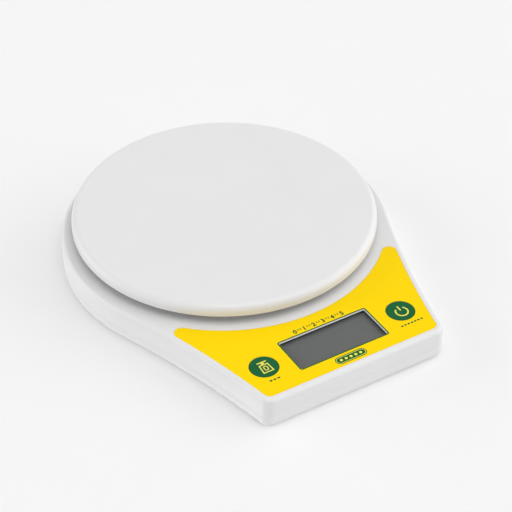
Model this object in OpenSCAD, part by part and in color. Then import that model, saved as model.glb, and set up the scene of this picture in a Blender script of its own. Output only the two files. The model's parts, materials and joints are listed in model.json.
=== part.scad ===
// Battery-powered weighing scale with a round platform and a sloping-sided control panel.
// Millimetres, +Z up. The origin is on the table, under the middle of the body's footprint.
// X runs to the right and -Y towards the user. Heights are above the table.

/* [Platform] */
// Diameter of the round platform
pan_d = 150; // [130:1:180]
// Height of the platform's rim
pan_rim_h = 5.5; // [5:0.1:9]
// Thickness of the platform's top and rim
pan_t = 2; // [1.6:0.1:2.4]
// Radius of the platform's rounded top edge
pan_edge_r = 3.4; // [2.6:0.1:4.5]
// Gap between the platform's rim and the top of the body
pan_gap = 4.5; // [3.5:0.1:9]
// How far the platform sinks under its full load
pan_travel = 0.6; // [0.3:0.1:0.8]
// Diameter of the carrier plate that holds the platform
carrier_d = 120; // [100:1:124]
// Thickness of the carrier plate
carrier_t = 2.5; // [2:0.1:3]

/* [Body] */
// Height of the two shells together
body_h = 15; // [15:0.1:20]
// Height of the lower shell's outer wall
split_h = 5; // [4.5:0.1:7]
// Height of the underside above the table
foot_h = 1.5; // [1:0.1:4]
// How far the round rear of the body stands out past the platform
rear_margin = 6; // [5:0.1:12]
// How far the centre of the round rear lies ahead of the platform's centre
rear_set = 1.5; // [0:0.1:4]
// Distance from the platform's edge to the front face
panel_depth = 45; // [43:0.5:65]
// Width of the front face, measured to the sharp corners
front_w = 96.2; // [92:0.1:125]
// Radius of the hollow flanks
flank_r = 480; // [380:5:640]
// Radius of the two upright front corners
corner_r = 5.5; // [3.2:0.1:7]
// Radius of the body's rounded top edge
edge_r = 2; // [1:0.1:2.1]
// Radius of the body's rounded bottom edge
bottom_r = 0.9; // [0.3:0.1:1.4]
// Thickness of the outer walls
wall_t = 2.2; // [1.8:0.1:2.6]
// Thickness of the lower shell's floor
floor_t = 2; // [1.8:0.1:2.4]
// Thickness of the upper shell's roof
roof_t = 2.2; // [1.9:0.1:2.4]
// Height of the lip that locates the two shells
lip_h = 1.2; // [0.8:0.1:1.8]
// Diameter of the four feet
foot_d = 10; // [8:0.1:13]

/* [Control panel] */
// Width of the display window
window_w = 46.8; // [40:0.1:48]
// Depth of the display window, front to back
window_d = 20; // [14:0.1:21]
// Distance from the front face to the middle of the display and keys
display_set = 21.1; // [20.5:0.1:24]
// Diameter of the two round keys
key_d = 13.5; // [10:0.1:14]
// Distance from each key's middle to the front face's sharp corner, along X
key_inset = 11; // [10.5:0.1:11.5]
// Travel of a key
key_travel = 0.4; // [0.2:0.05:0.5]
// Margin between the face label and the body's outline
label_margin = 3; // [2.4:0.1:4]
// Distance from the platform's edge to the label's round rear edge
label_gap = 4.4; // [3:0.1:8]
// Thickness of the face label
label_t = 0.25; // [0.15:0.05:0.4]
// Radius of the label's front corners
label_corner_r = 3.2; // [1:0.1:5]
// Radius of the label's two rear tips
label_tip_r = 3.6; // [1:0.1:4]

/* [Load cell] */
// Length of the load cell
cell_l = 68; // [60:1:80]
// Width of the load cell
cell_w = 12; // [10:0.1:15]
// Height of the load cell
cell_h = 7; // [6:0.1:7.4]
// Height of the seat under the load cell's fixed end
cell_seat_h = 2; // [1.6:0.1:2.2]
// Distance from each end of the load cell to its outer bolt hole
cell_hole_end = 5.5; // [5:0.1:8]
// Spacing of the two bolt holes at each end
cell_hole_pitch = 11; // [9:0.1:12]
// Diameter of the load cell's bolts
bolt_d = 4; // [3:0.1:4]

/* [Battery bay] */
// Diameter of one battery
battery_d = 10.5; // [9:0.1:10.6]
// Length of one battery with its button
battery_l = 44.5; // [36:0.1:54]
// Distance from the front face to the middle of the battery bay
bay_set = 57.5; // [56:0.1:62]
// Length of a battery spring as fitted
spring_l = 3.6; // [2.5:0.1:6]

/* [Clearances] */
// Gap round each key
key_gap = 0.25; // [0.15:0.05:0.4]
// Gap round the battery door
door_gap = 0.3; // [0.2:0.05:0.5]
// Gap round pieces that only locate
fit_gap = 0.1; // [0.05:0.01:0.2]
// Gap round a screw's shank
screw_gap = 0.05; // [0.03:0.01:0.1]

/* [Hidden] */
$fn = 96;
big_fn = 720;
cut = 1;                      // how far a cutter runs past the face it opens

// Plan of the body, with the platform's centre at pan_c
pan_r = pan_d / 2;
rear_r = pan_r + rear_margin;
body_l = rear_r - rear_set + pan_r + panel_depth;
pan_c = [0, body_l / 2 - rear_r + rear_set];
rear_c = [0, body_l / 2 - rear_r];
front_y = -body_l / 2;

// The point at distance rp from p and rq from q: side is 1 for the one on the left of the way
// from p to q, and -1 for the one on the right
function meet(p, rp, q, rq, side) =
    let (l = norm(q - p), u = (q - p) / l, a = (rp * rp - rq * rq + l * l) / (2 * l))
    p + a * u + side * sqrt(rp * rp - a * a) * [-u[1], u[0]];
function toward(p, q, r) = p + r * (q - p) / norm(q - p);
function flip(p) = [-p[0], p[1]];
function polar(c, r, a) = c + r * [cos(a), sin(a)];
// How far the side of a step reaches in, for step i of n round a quarter circle of radius r
function step_in(i, n, r) = r * (1 - cos(90 * max(i - 0.5, 0) / n));
function step_out(i, n, r) = r * (1 - sin(90 * i / n));

// Centre of the right-hand hollow flank: it touches the round rear and ends at the front corner
flank_c = meet(rear_c, rear_r + flank_r, [front_w / 2, front_y], flank_r, 1);
// Half the body's width at y, on the hollow flanks
function flank_x(y) = flank_c[0] - sqrt(flank_r * flank_r - (y - flank_c[1]) * (y - flank_c[1]));
// Centre of a round corner of radius r between the front face and the flank, both moved in
function corner_c(inset, r) =
    let (y = front_y + inset + r, reach = flank_r + inset + r, dy = y - flank_c[1])
    [flank_c[0] - sqrt(reach * reach - dy * dy), y];

// Heights
base_z = foot_h;
split_z = base_z + split_h;
body_top = base_z + body_h;
floor_z = base_z + floor_t;
roof_z = body_top - roof_t;
rim_z = body_top + pan_gap;
pan_top = rim_z + pan_rim_h;
pan_under = pan_top - pan_t;
carrier_z = pan_under - carrier_t;
cell_z = floor_z + cell_seat_h;
cell_top = cell_z + cell_h;
foot_sink = 1.2;              // how deep a foot sits in the floor

// Shell joint
lip_t = wall_t / 2 - fit_gap / 2;
edge_steps = 5;               // steps that build up the rounded top edge
bottom_steps = 3;

// Housing screws
screw_d = 2.5;
screw_head_d = 4.6;
screw_head_h = 1.6;
boss_r = 3.2;
screw_l = 8.5;
head_sink = 0.3;              // how far a screw head lies above the underside
head_gap = 0.3;               // room round a screw head in its counterbore
front_screw_y = front_y + 8.5;
front_screw = [flank_x(front_screw_y) - boss_r - 1, front_screw_y];
rear_screw_r = rear_r - 9.5;
screw_spots = concat(
    [for (a = [42, 138, -27, 207]) polar(rear_c, rear_screw_r, a)],
    [front_screw, flip(front_screw)]
);
FOOT_SIDES = [
    ["foot_front_left", [-(front_w / 2 - 13), front_y + 13]],
    ["foot_front_right", [front_w / 2 - 13, front_y + 13]],
    ["foot_rear_left", polar(rear_c, rear_r - 18, 126)],
    ["foot_rear_right", polar(rear_c, rear_r - 18, 54)]
];

// Display, keys and circuit board
display_c = [0, front_y + display_set];
key_x = front_w / 2 - key_inset;
window_corner_r = 0.6;
recess_d = 1.1;               // depth of the display's window below the face
lcd_gap = 0.3;
lens_t = roof_t - recess_d - lcd_gap;
lens_edge = 2.5;              // how far the lens reaches past the window
lens_top = body_top - recess_d;
lcd_top = roof_z;
lcd_t = 2.2;
lcd_edge = 2.6;
lcd_w = window_w + 2 * lcd_edge;
lcd_d = window_d + 2 * lcd_edge;
frame_t = 1.9;                // wall of the frame round the display
strip_h = 2.4;                // rubber contact strips under the display
strip_w = 2;
board_t = 1.2;
board_top = lcd_top - lcd_t - strip_h;
board_w = 2 * front_screw[0] - 2 * boss_r - 1.4;
board_front = 4.8;            // from the front face to the board
board_back = 37.5;            // from the front face to the board's rear edge
post_r = 2.3;
board_screw_d = 2;
board_spots = [
    for (x = [-1, 1], y = [8, 34.2]) [x * (board_w / 2 - 3.2), front_y + y]
];
switch_w = 6;
switch_h = 2.6;
stem_d = 3.2;
stem_up = 0.6;                // how far a switch's stem stands out of it
stem_in = 1.2;
key_flange = 1.2;
key_flange_t = 0.8;
key_rest = 0.15;              // gap between the roof and a key's flange
key_flange_z = roof_z - key_rest - key_flange_t;

// Load cell and carrier
cell_holes = [for (i = [0, 1]) cell_l / 2 - cell_hole_end - i * cell_hole_pitch];
cell_mid_x = (cell_holes[0] + cell_holes[1]) / 2;
seat_l = 2 * (cell_l / 2 - cell_mid_x);
seat_w = cell_w + 2;
bolt_head_d = 7;
bolt_head_h = 2;
opening_gap = 3;              // room round the carrier's post in the upper shell
bolt_seat_t = 2.5;            // thickness of the carrier's post under its bolt heads
flexure_l = 2 * (cell_holes[1] - 1.5 * bolt_d);
stop_d = 3;
stop_gap = pan_travel + 0.3;  // overload stop under the load cell's free end
potting_t = 0.9;

// Battery bay
bay_c = [0, front_y + bay_set];
battery_pitch = battery_d + 0.6;
battery_y = [bay_c[1] - battery_pitch / 2, bay_c[1] + battery_pitch / 2];
button_h = 0.8;               // a battery's button stands out this far
plate_t = 0.4;
contact_w = 8;
spot_h = 0.3;                 // raised spot that meets a battery's button
bay_l = battery_l + spring_l + 2 * plate_t + spot_h;
bay_w = battery_pitch + battery_d + 0.8;
bay_wall = 1.6;
door_t = 1.6;
battery_z = base_z + door_t + 0.25 + battery_d / 2;
bay_top = battery_z + battery_d / 2 - 0.5;
hatch_rear = bay_c[1] + bay_w / 2;

// Battery door: two tabs at its rear edge, a springy tongue at its front edge
tab_w = 6;
tab_x = 15;
tab_t = 1;
tab_reach = 1.7;
tab_neck = 1;
tab_swing = norm([tab_reach, floor_t + fit_gap + tab_t]);
tongue_h = 1.4;

// Leads: points chosen by hand, each from its solder joint to the board's underside
lead_d = 1.3;
cable_d = 1.5;
board_under = board_top - board_t;
LEAD_PLUS = [[-28, -47.8, 12.4], [-30.5, -49, 9.5], [-31, -53, 6.6], [-30, -59, 5.4], [-27.5, -63.6, 5.8]];
LEAD_MINUS = [[-28, -36.7, 12.4], [-32.5, -38, 9.5], [-34, -46, 6.4], [-34, -56, 5.2], [-32, -63.6, 5.8]];
CABLE = [[-11.5, 20.25, 13.4], [-22, 20.25, 13.4], [-34, 20.25, 13.4], [-42, 14, 11.5], [-45, 0, 8],
    [-44, -24, 5.6], [-40, -48, 5], [-36, -58.5, 5.2], [-34, -63.6, 5.8]];
LEAD_END = [0, -1.2];         // the last bend turns up into the board this far on

// ---- Plan shapes ----

// Rectangle with round corners, about the origin
module round_rect(w, d, r) {
    square([w, d - 2 * r], center = true);
    square([w - 2 * r, d], center = true);
    for (x = [-1, 1], y = [-1, 1]) {
        translate([x * (w / 2 - r), y * (d / 2 - r)]) circle(r = r);
    }
}

// The body ahead of its round rear, moved in all round, with corners of radius r.
// tail is where its right-hand edge ends on the flank, and back is the point behind that.
module neck(inset, r, tail, back) {
    c = corner_c(inset, r);
    front = [c[0], front_y + inset];
    side = toward(c, flank_c, r);
    difference() {
        polygon([front, side, tail, back, flip(back), flip(tail), flip(side), flip(front)]);
        for (x = [-1, 1]) {
            translate([x * flank_c[0], flank_c[1]]) circle(r = flank_r + inset, $fn = big_fn);
        }
    }
    for (x = [-1, 1]) {
        translate([x * c[0], c[1]]) circle(r = r);
    }
}

// Outline of the body, moved in all round
module outline(inset) {
    translate(rear_c) circle(r = rear_r - inset, $fn = big_fn);
    neck(inset, corner_r - inset, toward(rear_c, flank_c, rear_r - inset), rear_c + [1, 0]);
}

// Outline of the face label, or of its recess when it grows by a gap
module label_outline(grow) {
    inset = label_margin - grow;
    arc_r = pan_r + label_gap - grow;
    tip_r = label_tip_r + grow;
    tip = meet(pan_c, arc_r + tip_r, flank_c, flank_r + inset + tip_r, -1);
    difference() {
        neck(inset, label_corner_r + grow, toward(tip, flank_c, tip_r), toward(tip, pan_c, tip_r));
        translate(pan_c) circle(r = arc_r, $fn = big_fn);
    }
    for (x = [-1, 1]) {
        translate([x * tip[0], tip[1]]) circle(r = tip_r);
    }
}

// ---- Shared solids ----

module slab(z0, z1) {
    translate([0, 0, z0]) linear_extrude(z1 - z0) children();
}

// Screw pointing up, with its head's underside at the origin
module screw_up(d, head_d, head_h, length) {
    difference() {
        translate([0, 0, -head_h]) cylinder(d = head_d, h = head_h);
        for (a = [0, 90]) {
            rotate(a) translate([-head_d * 0.3, -d * 0.1, -head_h - cut]) {
                cube([head_d * 0.6, d * 0.2, cut + head_h * 0.5]);
            }
        }
    }
    cylinder(d = d, h = length);
}

function bend(p, q, r, s, t) =
    0.5 * (2 * q + (r - p) * t + (2 * p - 5 * q + 4 * r - s) * t * t + (3 * q - p - 3 * r + s) * t * t * t);
// Smooth curve through the given points
function curve(path, steps) =
    let (n = len(path) - 1)
    concat(
        [for (i = [0 : n - 1], k = [0 : steps - 1])
            bend(path[max(i - 1, 0)], path[i], path[i + 1], path[min(i + 2, n)], k / steps)],
        [path[n]]
    );

// Round wire of diameter d along a list of points
module wire(path, d, sides) {
    n = len(path);
    way = [for (i = [0 : n - 1])
        let (v = path[min(i + 1, n - 1)] - path[max(i - 1, 0)]) v / norm(v)];
    side = [for (v = way)
        let (s = cross(v, abs(v[2]) < 0.8 ? [0, 0, 1] : [1, 0, 0])) s / norm(s)];
    // each ring starts from the direction nearest the last one's, so that the wire doesn't twist
    starts = [for (i = 0, s = side[0]; i < n;
        i = i + 1,
        s = i < n ? let (w = s - (s * way[i]) * way[i]) w / norm(w) : s) s];
    points = [for (i = [0 : n - 1], k = [0 : sides - 1])
        path[i] + d / 2 * (cos(360 * k / sides) * starts[i]
            + sin(360 * k / sides) * cross(way[i], starts[i]))];
    faces = concat(
        [[for (k = [sides - 1 : -1 : 0]) k]],
        [for (i = [0 : n - 2], k = [0 : sides - 1])
            let (a = i * sides + k, b = i * sides + (k + 1) % sides) [a, b, b + sides, a + sides]],
        [[for (k = [0 : sides - 1]) (n - 1) * sides + k]]
    );
    polyhedron(points, faces);
}

// A lead that ends square on the underside of the board
module lead(path, d, sides) {
    last = path[len(path) - 1];
    turn = [last[0] + LEAD_END[0], last[1] + LEAD_END[1]];
    wire(concat(curve(path, 4), [[turn[0], turn[1], board_under - 1.4], [turn[0], turn[1], board_under]]),
        d, sides);
}

// ---- Platform ----

module pan() {
    inner_r = pan_edge_r - pan_t;
    hook_r = carrier_d / 2 + 0.4;
    hook_t = 1.6;
    hook_z = carrier_z - 0.15;
    barb_t = 0.8;
    barb_reach = 1.4;
    hook_w = 8;
    color("white") translate(concat(pan_c, 0)) {
        rotate_extrude($fn = 180) difference() {
            union() {
                translate([0, rim_z]) square([pan_r, pan_rim_h - pan_edge_r]);
                translate([0, rim_z]) square([pan_r - pan_edge_r, pan_rim_h]);
                intersection() {
                    translate([pan_r - pan_edge_r, pan_top - pan_edge_r]) circle(r = pan_edge_r);
                    translate([0, rim_z]) square([pan_r, pan_rim_h]);
                }
            }
            translate([0, rim_z - cut]) square([pan_r - pan_t, cut + pan_under - inner_r - rim_z]);
            translate([0, rim_z - cut]) square([pan_r - pan_t - inner_r, cut + pan_under - rim_z]);
            translate([pan_r - pan_t - inner_r, pan_under - inner_r]) circle(r = inner_r);
        }
        // four hooks that snap under the carrier's edge
        intersection() {
            rotate_extrude($fn = 180) {
                translate([hook_r, hook_z - barb_t]) square([hook_t, pan_under - hook_z + barb_t]);
                translate([hook_r - barb_reach, hook_z - barb_t]) square([barb_reach, barb_t]);
            }
            for (a = [45, 135]) {
                rotate(a) translate([-pan_r, -hook_w / 2, rim_z - cut]) {
                    cube([2 * pan_r, hook_w, pan_rim_h + cut]);
                }
            }
        }
    }
}

module carrier() {
    hole_d = 11;
    hole_edge = 14;
    color("lightgray") difference() {
        translate(concat(pan_c, 0)) {
            slab(carrier_z, pan_under) circle(d = carrier_d, $fn = 180);
            translate([cell_mid_x, 0]) slab(cell_top, carrier_z + cut) round_rect(seat_l, seat_w, 3);
        }
        translate(concat(pan_c, 0)) {
            for (x = cell_holes) {
                translate([x, 0, cell_top - cut]) cylinder(d = bolt_d + 2 * screw_gap, h = pan_top);
                translate([x, 0, cell_top + bolt_seat_t]) {
                    cylinder(d = bolt_head_d + 2 * head_gap, h = pan_top);
                }
            }
            // two rings of lightening holes, the inner one left out over the post
            for (a = [0 : 30 : 330]) {
                rotate(a + 15) translate([carrier_d / 2 - hole_edge, 0, carrier_z - cut]) {
                    cylinder(d = hole_d, h = carrier_t + 2 * cut);
                }
            }
            for (a = [90 : 30 : 270]) {
                rotate(a) translate([carrier_d / 4, 0, carrier_z - cut]) {
                    cylinder(d = hole_d, h = carrier_t + 2 * cut);
                }
            }
        }
    }
}

module carrier_bolts() {
    color("silver") for (x = cell_holes) {
        translate([pan_c[0] + x, pan_c[1], cell_top + bolt_seat_t]) mirror([0, 0, 1]) {
            screw_up(bolt_d, bolt_head_d, bolt_head_h, bolt_seat_t + cell_h - 1);
        }
    }
}

// ---- Shells ----

module key_places() {
    for (x = [-1, 1]) {
        translate([x * key_x, display_c[1]]) children();
    }
}

module upper_shell() {
    color("white") difference() {
        union() {
            difference() {
                for (i = [0 : edge_steps]) {
                    slab(split_z, body_top - step_out(i, edge_steps, edge_r)) {
                        outline(step_in(i, edge_steps, edge_r));
                    }
                }
                slab(split_z - cut, roof_z) outline(wall_t);
            }
            for (p = screw_spots) {
                translate(concat(p, split_z)) cylinder(r = boss_r, h = roof_z - split_z + cut / 2);
            }
            for (p = board_spots) {
                translate(concat(p, board_top)) cylinder(r = post_r, h = roof_z - board_top + cut / 2);
            }
        }
        // rebate for the lower shell's lip
        slab(split_z - cut, split_z + lip_h + fit_gap) difference() {
            outline(wall_t - lip_t - fit_gap);
            outline(wall_t + fit_gap);
        }
        slab(body_top - label_t, body_top + cut) label_outline(fit_gap);
        translate(concat(display_c, 0)) {
            slab(roof_z - cut, body_top + cut) round_rect(window_w, window_d, window_corner_r);
            slab(roof_z - cut, lens_top) {
                round_rect(window_w + 2 * lens_edge + 2 * fit_gap, window_d + 2 * lens_edge + 2 * fit_gap, 1);
            }
        }
        key_places() translate([0, 0, roof_z - cut]) {
            cylinder(d = key_d + 2 * key_gap, h = roof_t + 2 * cut);
        }
        translate(concat(pan_c + [cell_mid_x, 0], 0)) slab(roof_z - cut, body_top + cut) {
            round_rect(seat_l + 2 * opening_gap, seat_w + 2 * opening_gap, 5);
        }
        for (p = screw_spots) {
            translate(concat(p, split_z - cut)) {
                cylinder(d = screw_d + 2 * screw_gap, h = cut + screw_l - 1);
            }
        }
        for (p = board_spots) {
            translate(concat(p, board_top - cut)) {
                cylinder(d = board_screw_d + 2 * screw_gap, h = cut + roof_z - board_top - 0.8);
            }
        }
    }
}

// Seat, walls and posts that stand on the lower shell's floor
module floor_fittings() {
    translate(concat(pan_c - [cell_mid_x, 0], 0)) slab(floor_z - cut / 2, cell_z) {
        round_rect(seat_l, seat_w, 2);
    }
    translate([pan_c[0] + cell_holes[0], pan_c[1], floor_z - cut / 2]) {
        cylinder(r = stop_d, h = cut / 2 + 0.6);
    }
    for (p = screw_spots) {
        translate(concat(p, floor_z - cut / 2)) cylinder(r = boss_r, h = cut / 2 + split_z - floor_z);
    }
    translate(concat(bay_c, 0)) slab(base_z, bay_top) {
        square([bay_l + 2 * bay_wall, bay_w + 2 * bay_wall], center = true);
    }
    // stiffening ribs behind and beside the load cell
    for (a = [15 : 30 : 165]) {
        translate(concat(rear_c, floor_z - cut / 2)) rotate(a) {
            translate([rear_r * 0.42, -0.6, 0]) cube([rear_r * 0.56 - wall_t, 1.2, cut / 2 + 2.4]);
        }
    }
}

module lower_shell() {
    head_z = base_z + head_sink + screw_head_h;
    bolt_z = base_z + head_sink + bolt_head_h;
    color("white") difference() {
        union() {
            difference() {
                for (i = [0 : bottom_steps]) {
                    slab(base_z + step_out(i, bottom_steps, bottom_r), split_z) {
                        outline(step_in(i, bottom_steps, bottom_r));
                    }
                }
                slab(floor_z, split_z + cut) outline(wall_t);
            }
            slab(split_z - cut / 2, split_z + lip_h) difference() {
                outline(wall_t - lip_t);
                outline(wall_t);
            }
            floor_fittings();
        }
        for (p = screw_spots) {
            translate(concat(p, base_z - cut)) {
                cylinder(d = screw_d + 2 * screw_gap, h = body_h);
                cylinder(d = screw_head_d + 2 * head_gap, h = cut + head_z - base_z);
            }
        }
        for (x = cell_holes) {
            translate([pan_c[0] - x, pan_c[1], base_z - cut]) {
                cylinder(d = bolt_d + 2 * screw_gap, h = body_h);
                cylinder(d = bolt_head_d + 2 * head_gap, h = cut + bolt_z - base_z);
            }
        }
        translate([pan_c[0] + cell_holes[0], pan_c[1], base_z - cut]) {
            cylinder(d = stop_d + 2 * screw_gap, h = body_h);
        }
        for (f = FOOT_SIDES) {
            translate(concat(f[1], base_z - cut)) cylinder(d = foot_d + 2 * fit_gap, h = cut + foot_sink);
        }
        translate(concat(bay_c, 0)) slab(base_z - cut, body_top) {
            square([bay_l, bay_w], center = true);
        }
        // slots in the bay's rear wall for the door's two tabs as they swing up
        for (x = [-1, 1]) {
            translate([x * tab_x - tab_w / 2 - door_gap, hatch_rear - cut, floor_z]) {
                cube([tab_w + 2 * door_gap, cut + bay_wall + cut, base_z + tab_swing + door_gap - floor_z]);
            }
        }
    }
}

module shell_screws() {
    color("silver") for (p = screw_spots) {
        translate(concat(p, base_z + head_sink + screw_head_h)) {
            screw_up(screw_d, screw_head_d, screw_head_h, screw_l);
        }
    }
}

module foot(p) {
    color("dimgray") translate(concat(p, 0)) {
        rotate_extrude() {
            square([foot_d / 2 - 0.6, foot_h + foot_sink]);
            translate([0, 0.6]) square([foot_d / 2, foot_h + foot_sink - 0.6]);
            translate([foot_d / 2 - 0.6, 0.6]) intersection() {
                circle(r = 0.6);
                translate([0, -0.6]) square(0.6);
            }
        }
    }
}

// ---- Weighing mechanism ----

module load_cell() {
    web_r = cell_h * 0.38;
    color("silver") translate(concat(pan_c, 0)) difference() {
        translate([-cell_l / 2, -cell_w / 2, cell_z]) cube([cell_l, cell_w, cell_h]);
        for (x = [-1, 1]) {
            translate([x * flexure_l / 4, 0, cell_z + cell_h / 2]) rotate([90, 0, 0]) {
                cylinder(r = web_r, h = cell_w + 2 * cut, center = true);
            }
            for (h = cell_holes) {
                translate([x * h, 0, cell_z - cut]) {
                    cylinder(d = bolt_d + 2 * screw_gap, h = cell_h + 2 * cut);
                }
            }
        }
        translate([0, 0, cell_z + cell_h / 2]) cube([flexure_l / 2, cell_w + 2 * cut, web_r], center = true);
    }
}

module gauge_potting() {
    color("whitesmoke") translate(concat(pan_c, 0)) {
        for (z = [cell_top, cell_z - potting_t]) {
            slab(z, z + potting_t) round_rect(flexure_l, cell_w - 3, 2);
        }
    }
}

module load_cell_bolts() {
    color("silver") for (x = cell_holes) {
        translate([pan_c[0] - x, pan_c[1], base_z + head_sink + bolt_head_h]) {
            screw_up(bolt_d, bolt_head_d, bolt_head_h, cell_top - base_z - head_sink - bolt_head_h - 0.6);
        }
    }
}

module overload_stop() {
    color("dimgray") translate([pan_c[0] + cell_holes[0], pan_c[1], base_z + 0.4]) difference() {
        cylinder(d = stop_d, h = cell_z - stop_gap - base_z - 0.4);
        translate([0, 0, -cut]) cylinder(d = 1.5, h = cut + 1, $fn = 6);
    }
}

// ---- Display and keys ----

module circuit_board() {
    color("darkgreen") difference() {
        translate([-board_w / 2, front_y + board_front, board_under]) {
            cube([board_w, board_back - board_front, board_t]);
        }
        for (p = board_spots) {
            translate(concat(p, board_under - cut)) cylinder(d = board_screw_d + 0.2, h = board_t + 2 * cut);
        }
    }
}

module board_screws() {
    color("silver") for (p = board_spots) {
        translate(concat(p, board_under)) screw_up(board_screw_d, 3.8, 1.3, board_t + 3.2);
    }
}

// Black resin dome over the controller, on the board's underside
module chip_cover() {
    dome_r = 10;
    dome_h = 1.6;
    color("black") translate([0, display_c[1] - 2, board_under]) intersection() {
        translate([0, 0, dome_r - dome_h]) sphere(r = dome_r);
        translate([0, 0, -dome_h]) cylinder(r = dome_r, h = dome_h);
    }
}

module board_components() {
    color("tan") translate([0, display_c[1], 0]) {
        for (i = [0 : 4]) {
            translate([-19 + i * 2.6, 6, board_under - 0.6]) cube([1.2, 2.2, 0.6]);
        }
        translate([12, 4, board_under - 1.5]) rotate([0, 90, 0]) cylinder(d = 3, h = 8);
        translate([16, -7, board_under - 1.8]) linear_extrude(1.8) round_rect(11, 4.4, 2);
        translate([-16, -6, board_under - 2.2]) cylinder(d = 5, h = 2.2);
    }
}

module display_glass() {
    color("dimgray") translate(concat(display_c, 0)) {
        slab(lcd_top - lcd_t, lcd_top) square([lcd_w, lcd_d], center = true);
    }
}

module display_frame() {
    color("lightgray") translate(concat(display_c, 0)) slab(board_top, roof_z) difference() {
        round_rect(lcd_w + 2 * fit_gap + 2 * frame_t, lcd_d + 2 * fit_gap + 2 * frame_t, 1.2);
        square([lcd_w + 2 * fit_gap, lcd_d + 2 * fit_gap], center = true);
    }
}

module contact_strips() {
    color("salmon") translate(concat(display_c, board_top)) for (y = [-1, 1]) {
        translate([0, y * (lcd_d / 2 - 1.4), strip_h / 2]) {
            cube([lcd_w - 4, strip_w, strip_h], center = true);
        }
    }
}

module display_lens() {
    color("lightblue", 0.4) translate(concat(display_c, 0)) slab(lens_top - lens_t, lens_top) {
        round_rect(window_w + 2 * lens_edge, window_d + 2 * lens_edge, 1);
    }
}

module face_label() {
    color("gold") slab(body_top - label_t, body_top) difference() {
        label_outline(0);
        translate(display_c) round_rect(window_w, window_d, window_corner_r);
        key_places() circle(d = key_d + 2 * key_gap);
    }
}

module key(side) {
    stem_top = board_top + switch_h + stem_up;
    color("darkgreen") translate([side * key_x, display_c[1], 0]) {
        translate([0, 0, key_flange_z]) {
            cylinder(d = key_d, h = body_top - key_flange_z);
            cylinder(d = key_d + 2 * key_flange, h = key_flange_t);
        }
        translate([0, 0, stem_top]) cylinder(d = 4.4, h = key_flange_z - stem_top + cut / 2);
    }
}

module switch_body(side) {
    color("black") translate([side * key_x, display_c[1], 0]) {
        difference() {
            translate([-switch_w / 2, -switch_w / 2, board_top]) cube([switch_w, switch_w, switch_h]);
            translate([0, 0, board_top + switch_h - stem_in - key_travel - 0.2]) {
                cylinder(d = stem_d + 0.16, h = switch_h);
            }
        }
    }
}

module switch_stem(side) {
    color("gray") translate([side * key_x, display_c[1], board_top + switch_h - stem_in]) {
        cylinder(d = stem_d, h = stem_in + stem_up);
    }
}

// ---- Battery bay ----

module battery_door() {
    w = bay_l - 2 * door_gap;
    d = bay_w - 2 * door_gap;
    color("white") {
        difference() {
            translate([-w / 2, bay_c[1] - d / 2, base_z]) cube([w, d, door_t]);
            // finger recess by the latch
            translate([0, bay_c[1] - d / 2 + 4.2, base_z - cut]) linear_extrude(cut + 0.7) {
                round_rect(12, 4, 1.9);
            }
        }
        // tabs that hook over the floor at the rear edge
        for (x = [-1, 1]) {
            translate([x * tab_x - tab_w / 2, hatch_rear - door_gap - tab_neck, base_z + door_t]) {
                cube([tab_w, tab_neck, floor_t - door_t + fit_gap + tab_t]);
            }
            translate([x * tab_x - tab_w / 2, hatch_rear - door_gap - tab_neck, floor_z + fit_gap]) {
                cube([tab_w, tab_neck + door_gap + tab_reach, tab_t]);
            }
        }
        // springy latch tongue at the front edge
        translate([-5, bay_c[1] - d / 2 + 0.2, base_z + door_t]) cube([10, 0.9, tongue_h]);
    }
}

module battery(y, turn) {
    color("slategray") translate([0, y, battery_z]) mirror([turn, 0, 0]) {
        translate([-bay_l / 2 + plate_t + spring_l, 0, 0]) rotate([0, 90, 0]) {
            cylinder(d = battery_d, h = battery_l - button_h);
            cylinder(d = 3.8, h = battery_l);
        }
    }
}

// End plate with a solder tab folded over the bay's wall
module end_plate(x_side, y0, y1) {
    tab = 3.2;
    x = x_side * bay_l / 2;
    translate([min(x, x - x_side * plate_t), y0, battery_z - 3.6]) {
        cube([plate_t, y1 - y0, bay_top + plate_t - battery_z + 3.6]);
    }
    translate([min(x - x_side * plate_t, x + x_side * tab), (y0 + y1) / 2 - 1.5, bay_top]) {
        cube([plate_t + tab, 3, plate_t]);
    }
}

// Raised contact spot that meets a battery's button
module contact_spot(x_side, y) {
    translate([x_side * (bay_l / 2 - plate_t), y, battery_z]) rotate([0, -90 * x_side, 0]) {
        cylinder(d = 5, h = spot_h);
    }
}

module contact_plus() {
    color("silver") {
        end_plate(-1, battery_y[0] - contact_w / 2, battery_y[0] + contact_w / 2);
        contact_spot(-1, battery_y[0]);
    }
}

module contact_minus() {
    color("silver") end_plate(-1, battery_y[1] - contact_w / 2, battery_y[1] + contact_w / 2);
}

module contact_link() {
    color("silver") {
        end_plate(1, battery_y[0] - contact_w / 2, battery_y[1] + contact_w / 2);
        contact_spot(1, battery_y[1]);
    }
}

// Conical battery spring, wide at the plate
module battery_spring(x_side, y) {
    turns = 3;
    wire_d = 0.7;
    rings = 54;
    run = spring_l - wire_d;
    path = [for (i = [0 : rings])
        let (t = i / rings, r = 3.6 - 1.6 * t)
        [x_side * (bay_l / 2 - plate_t - wire_d / 2 - run * t),
            y + r * cos(360 * turns * t),
            battery_z + x_side * r * sin(360 * turns * t)]];
    color("silver") wire(path, wire_d, 6);
}

// ---- Assembly ----

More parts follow.
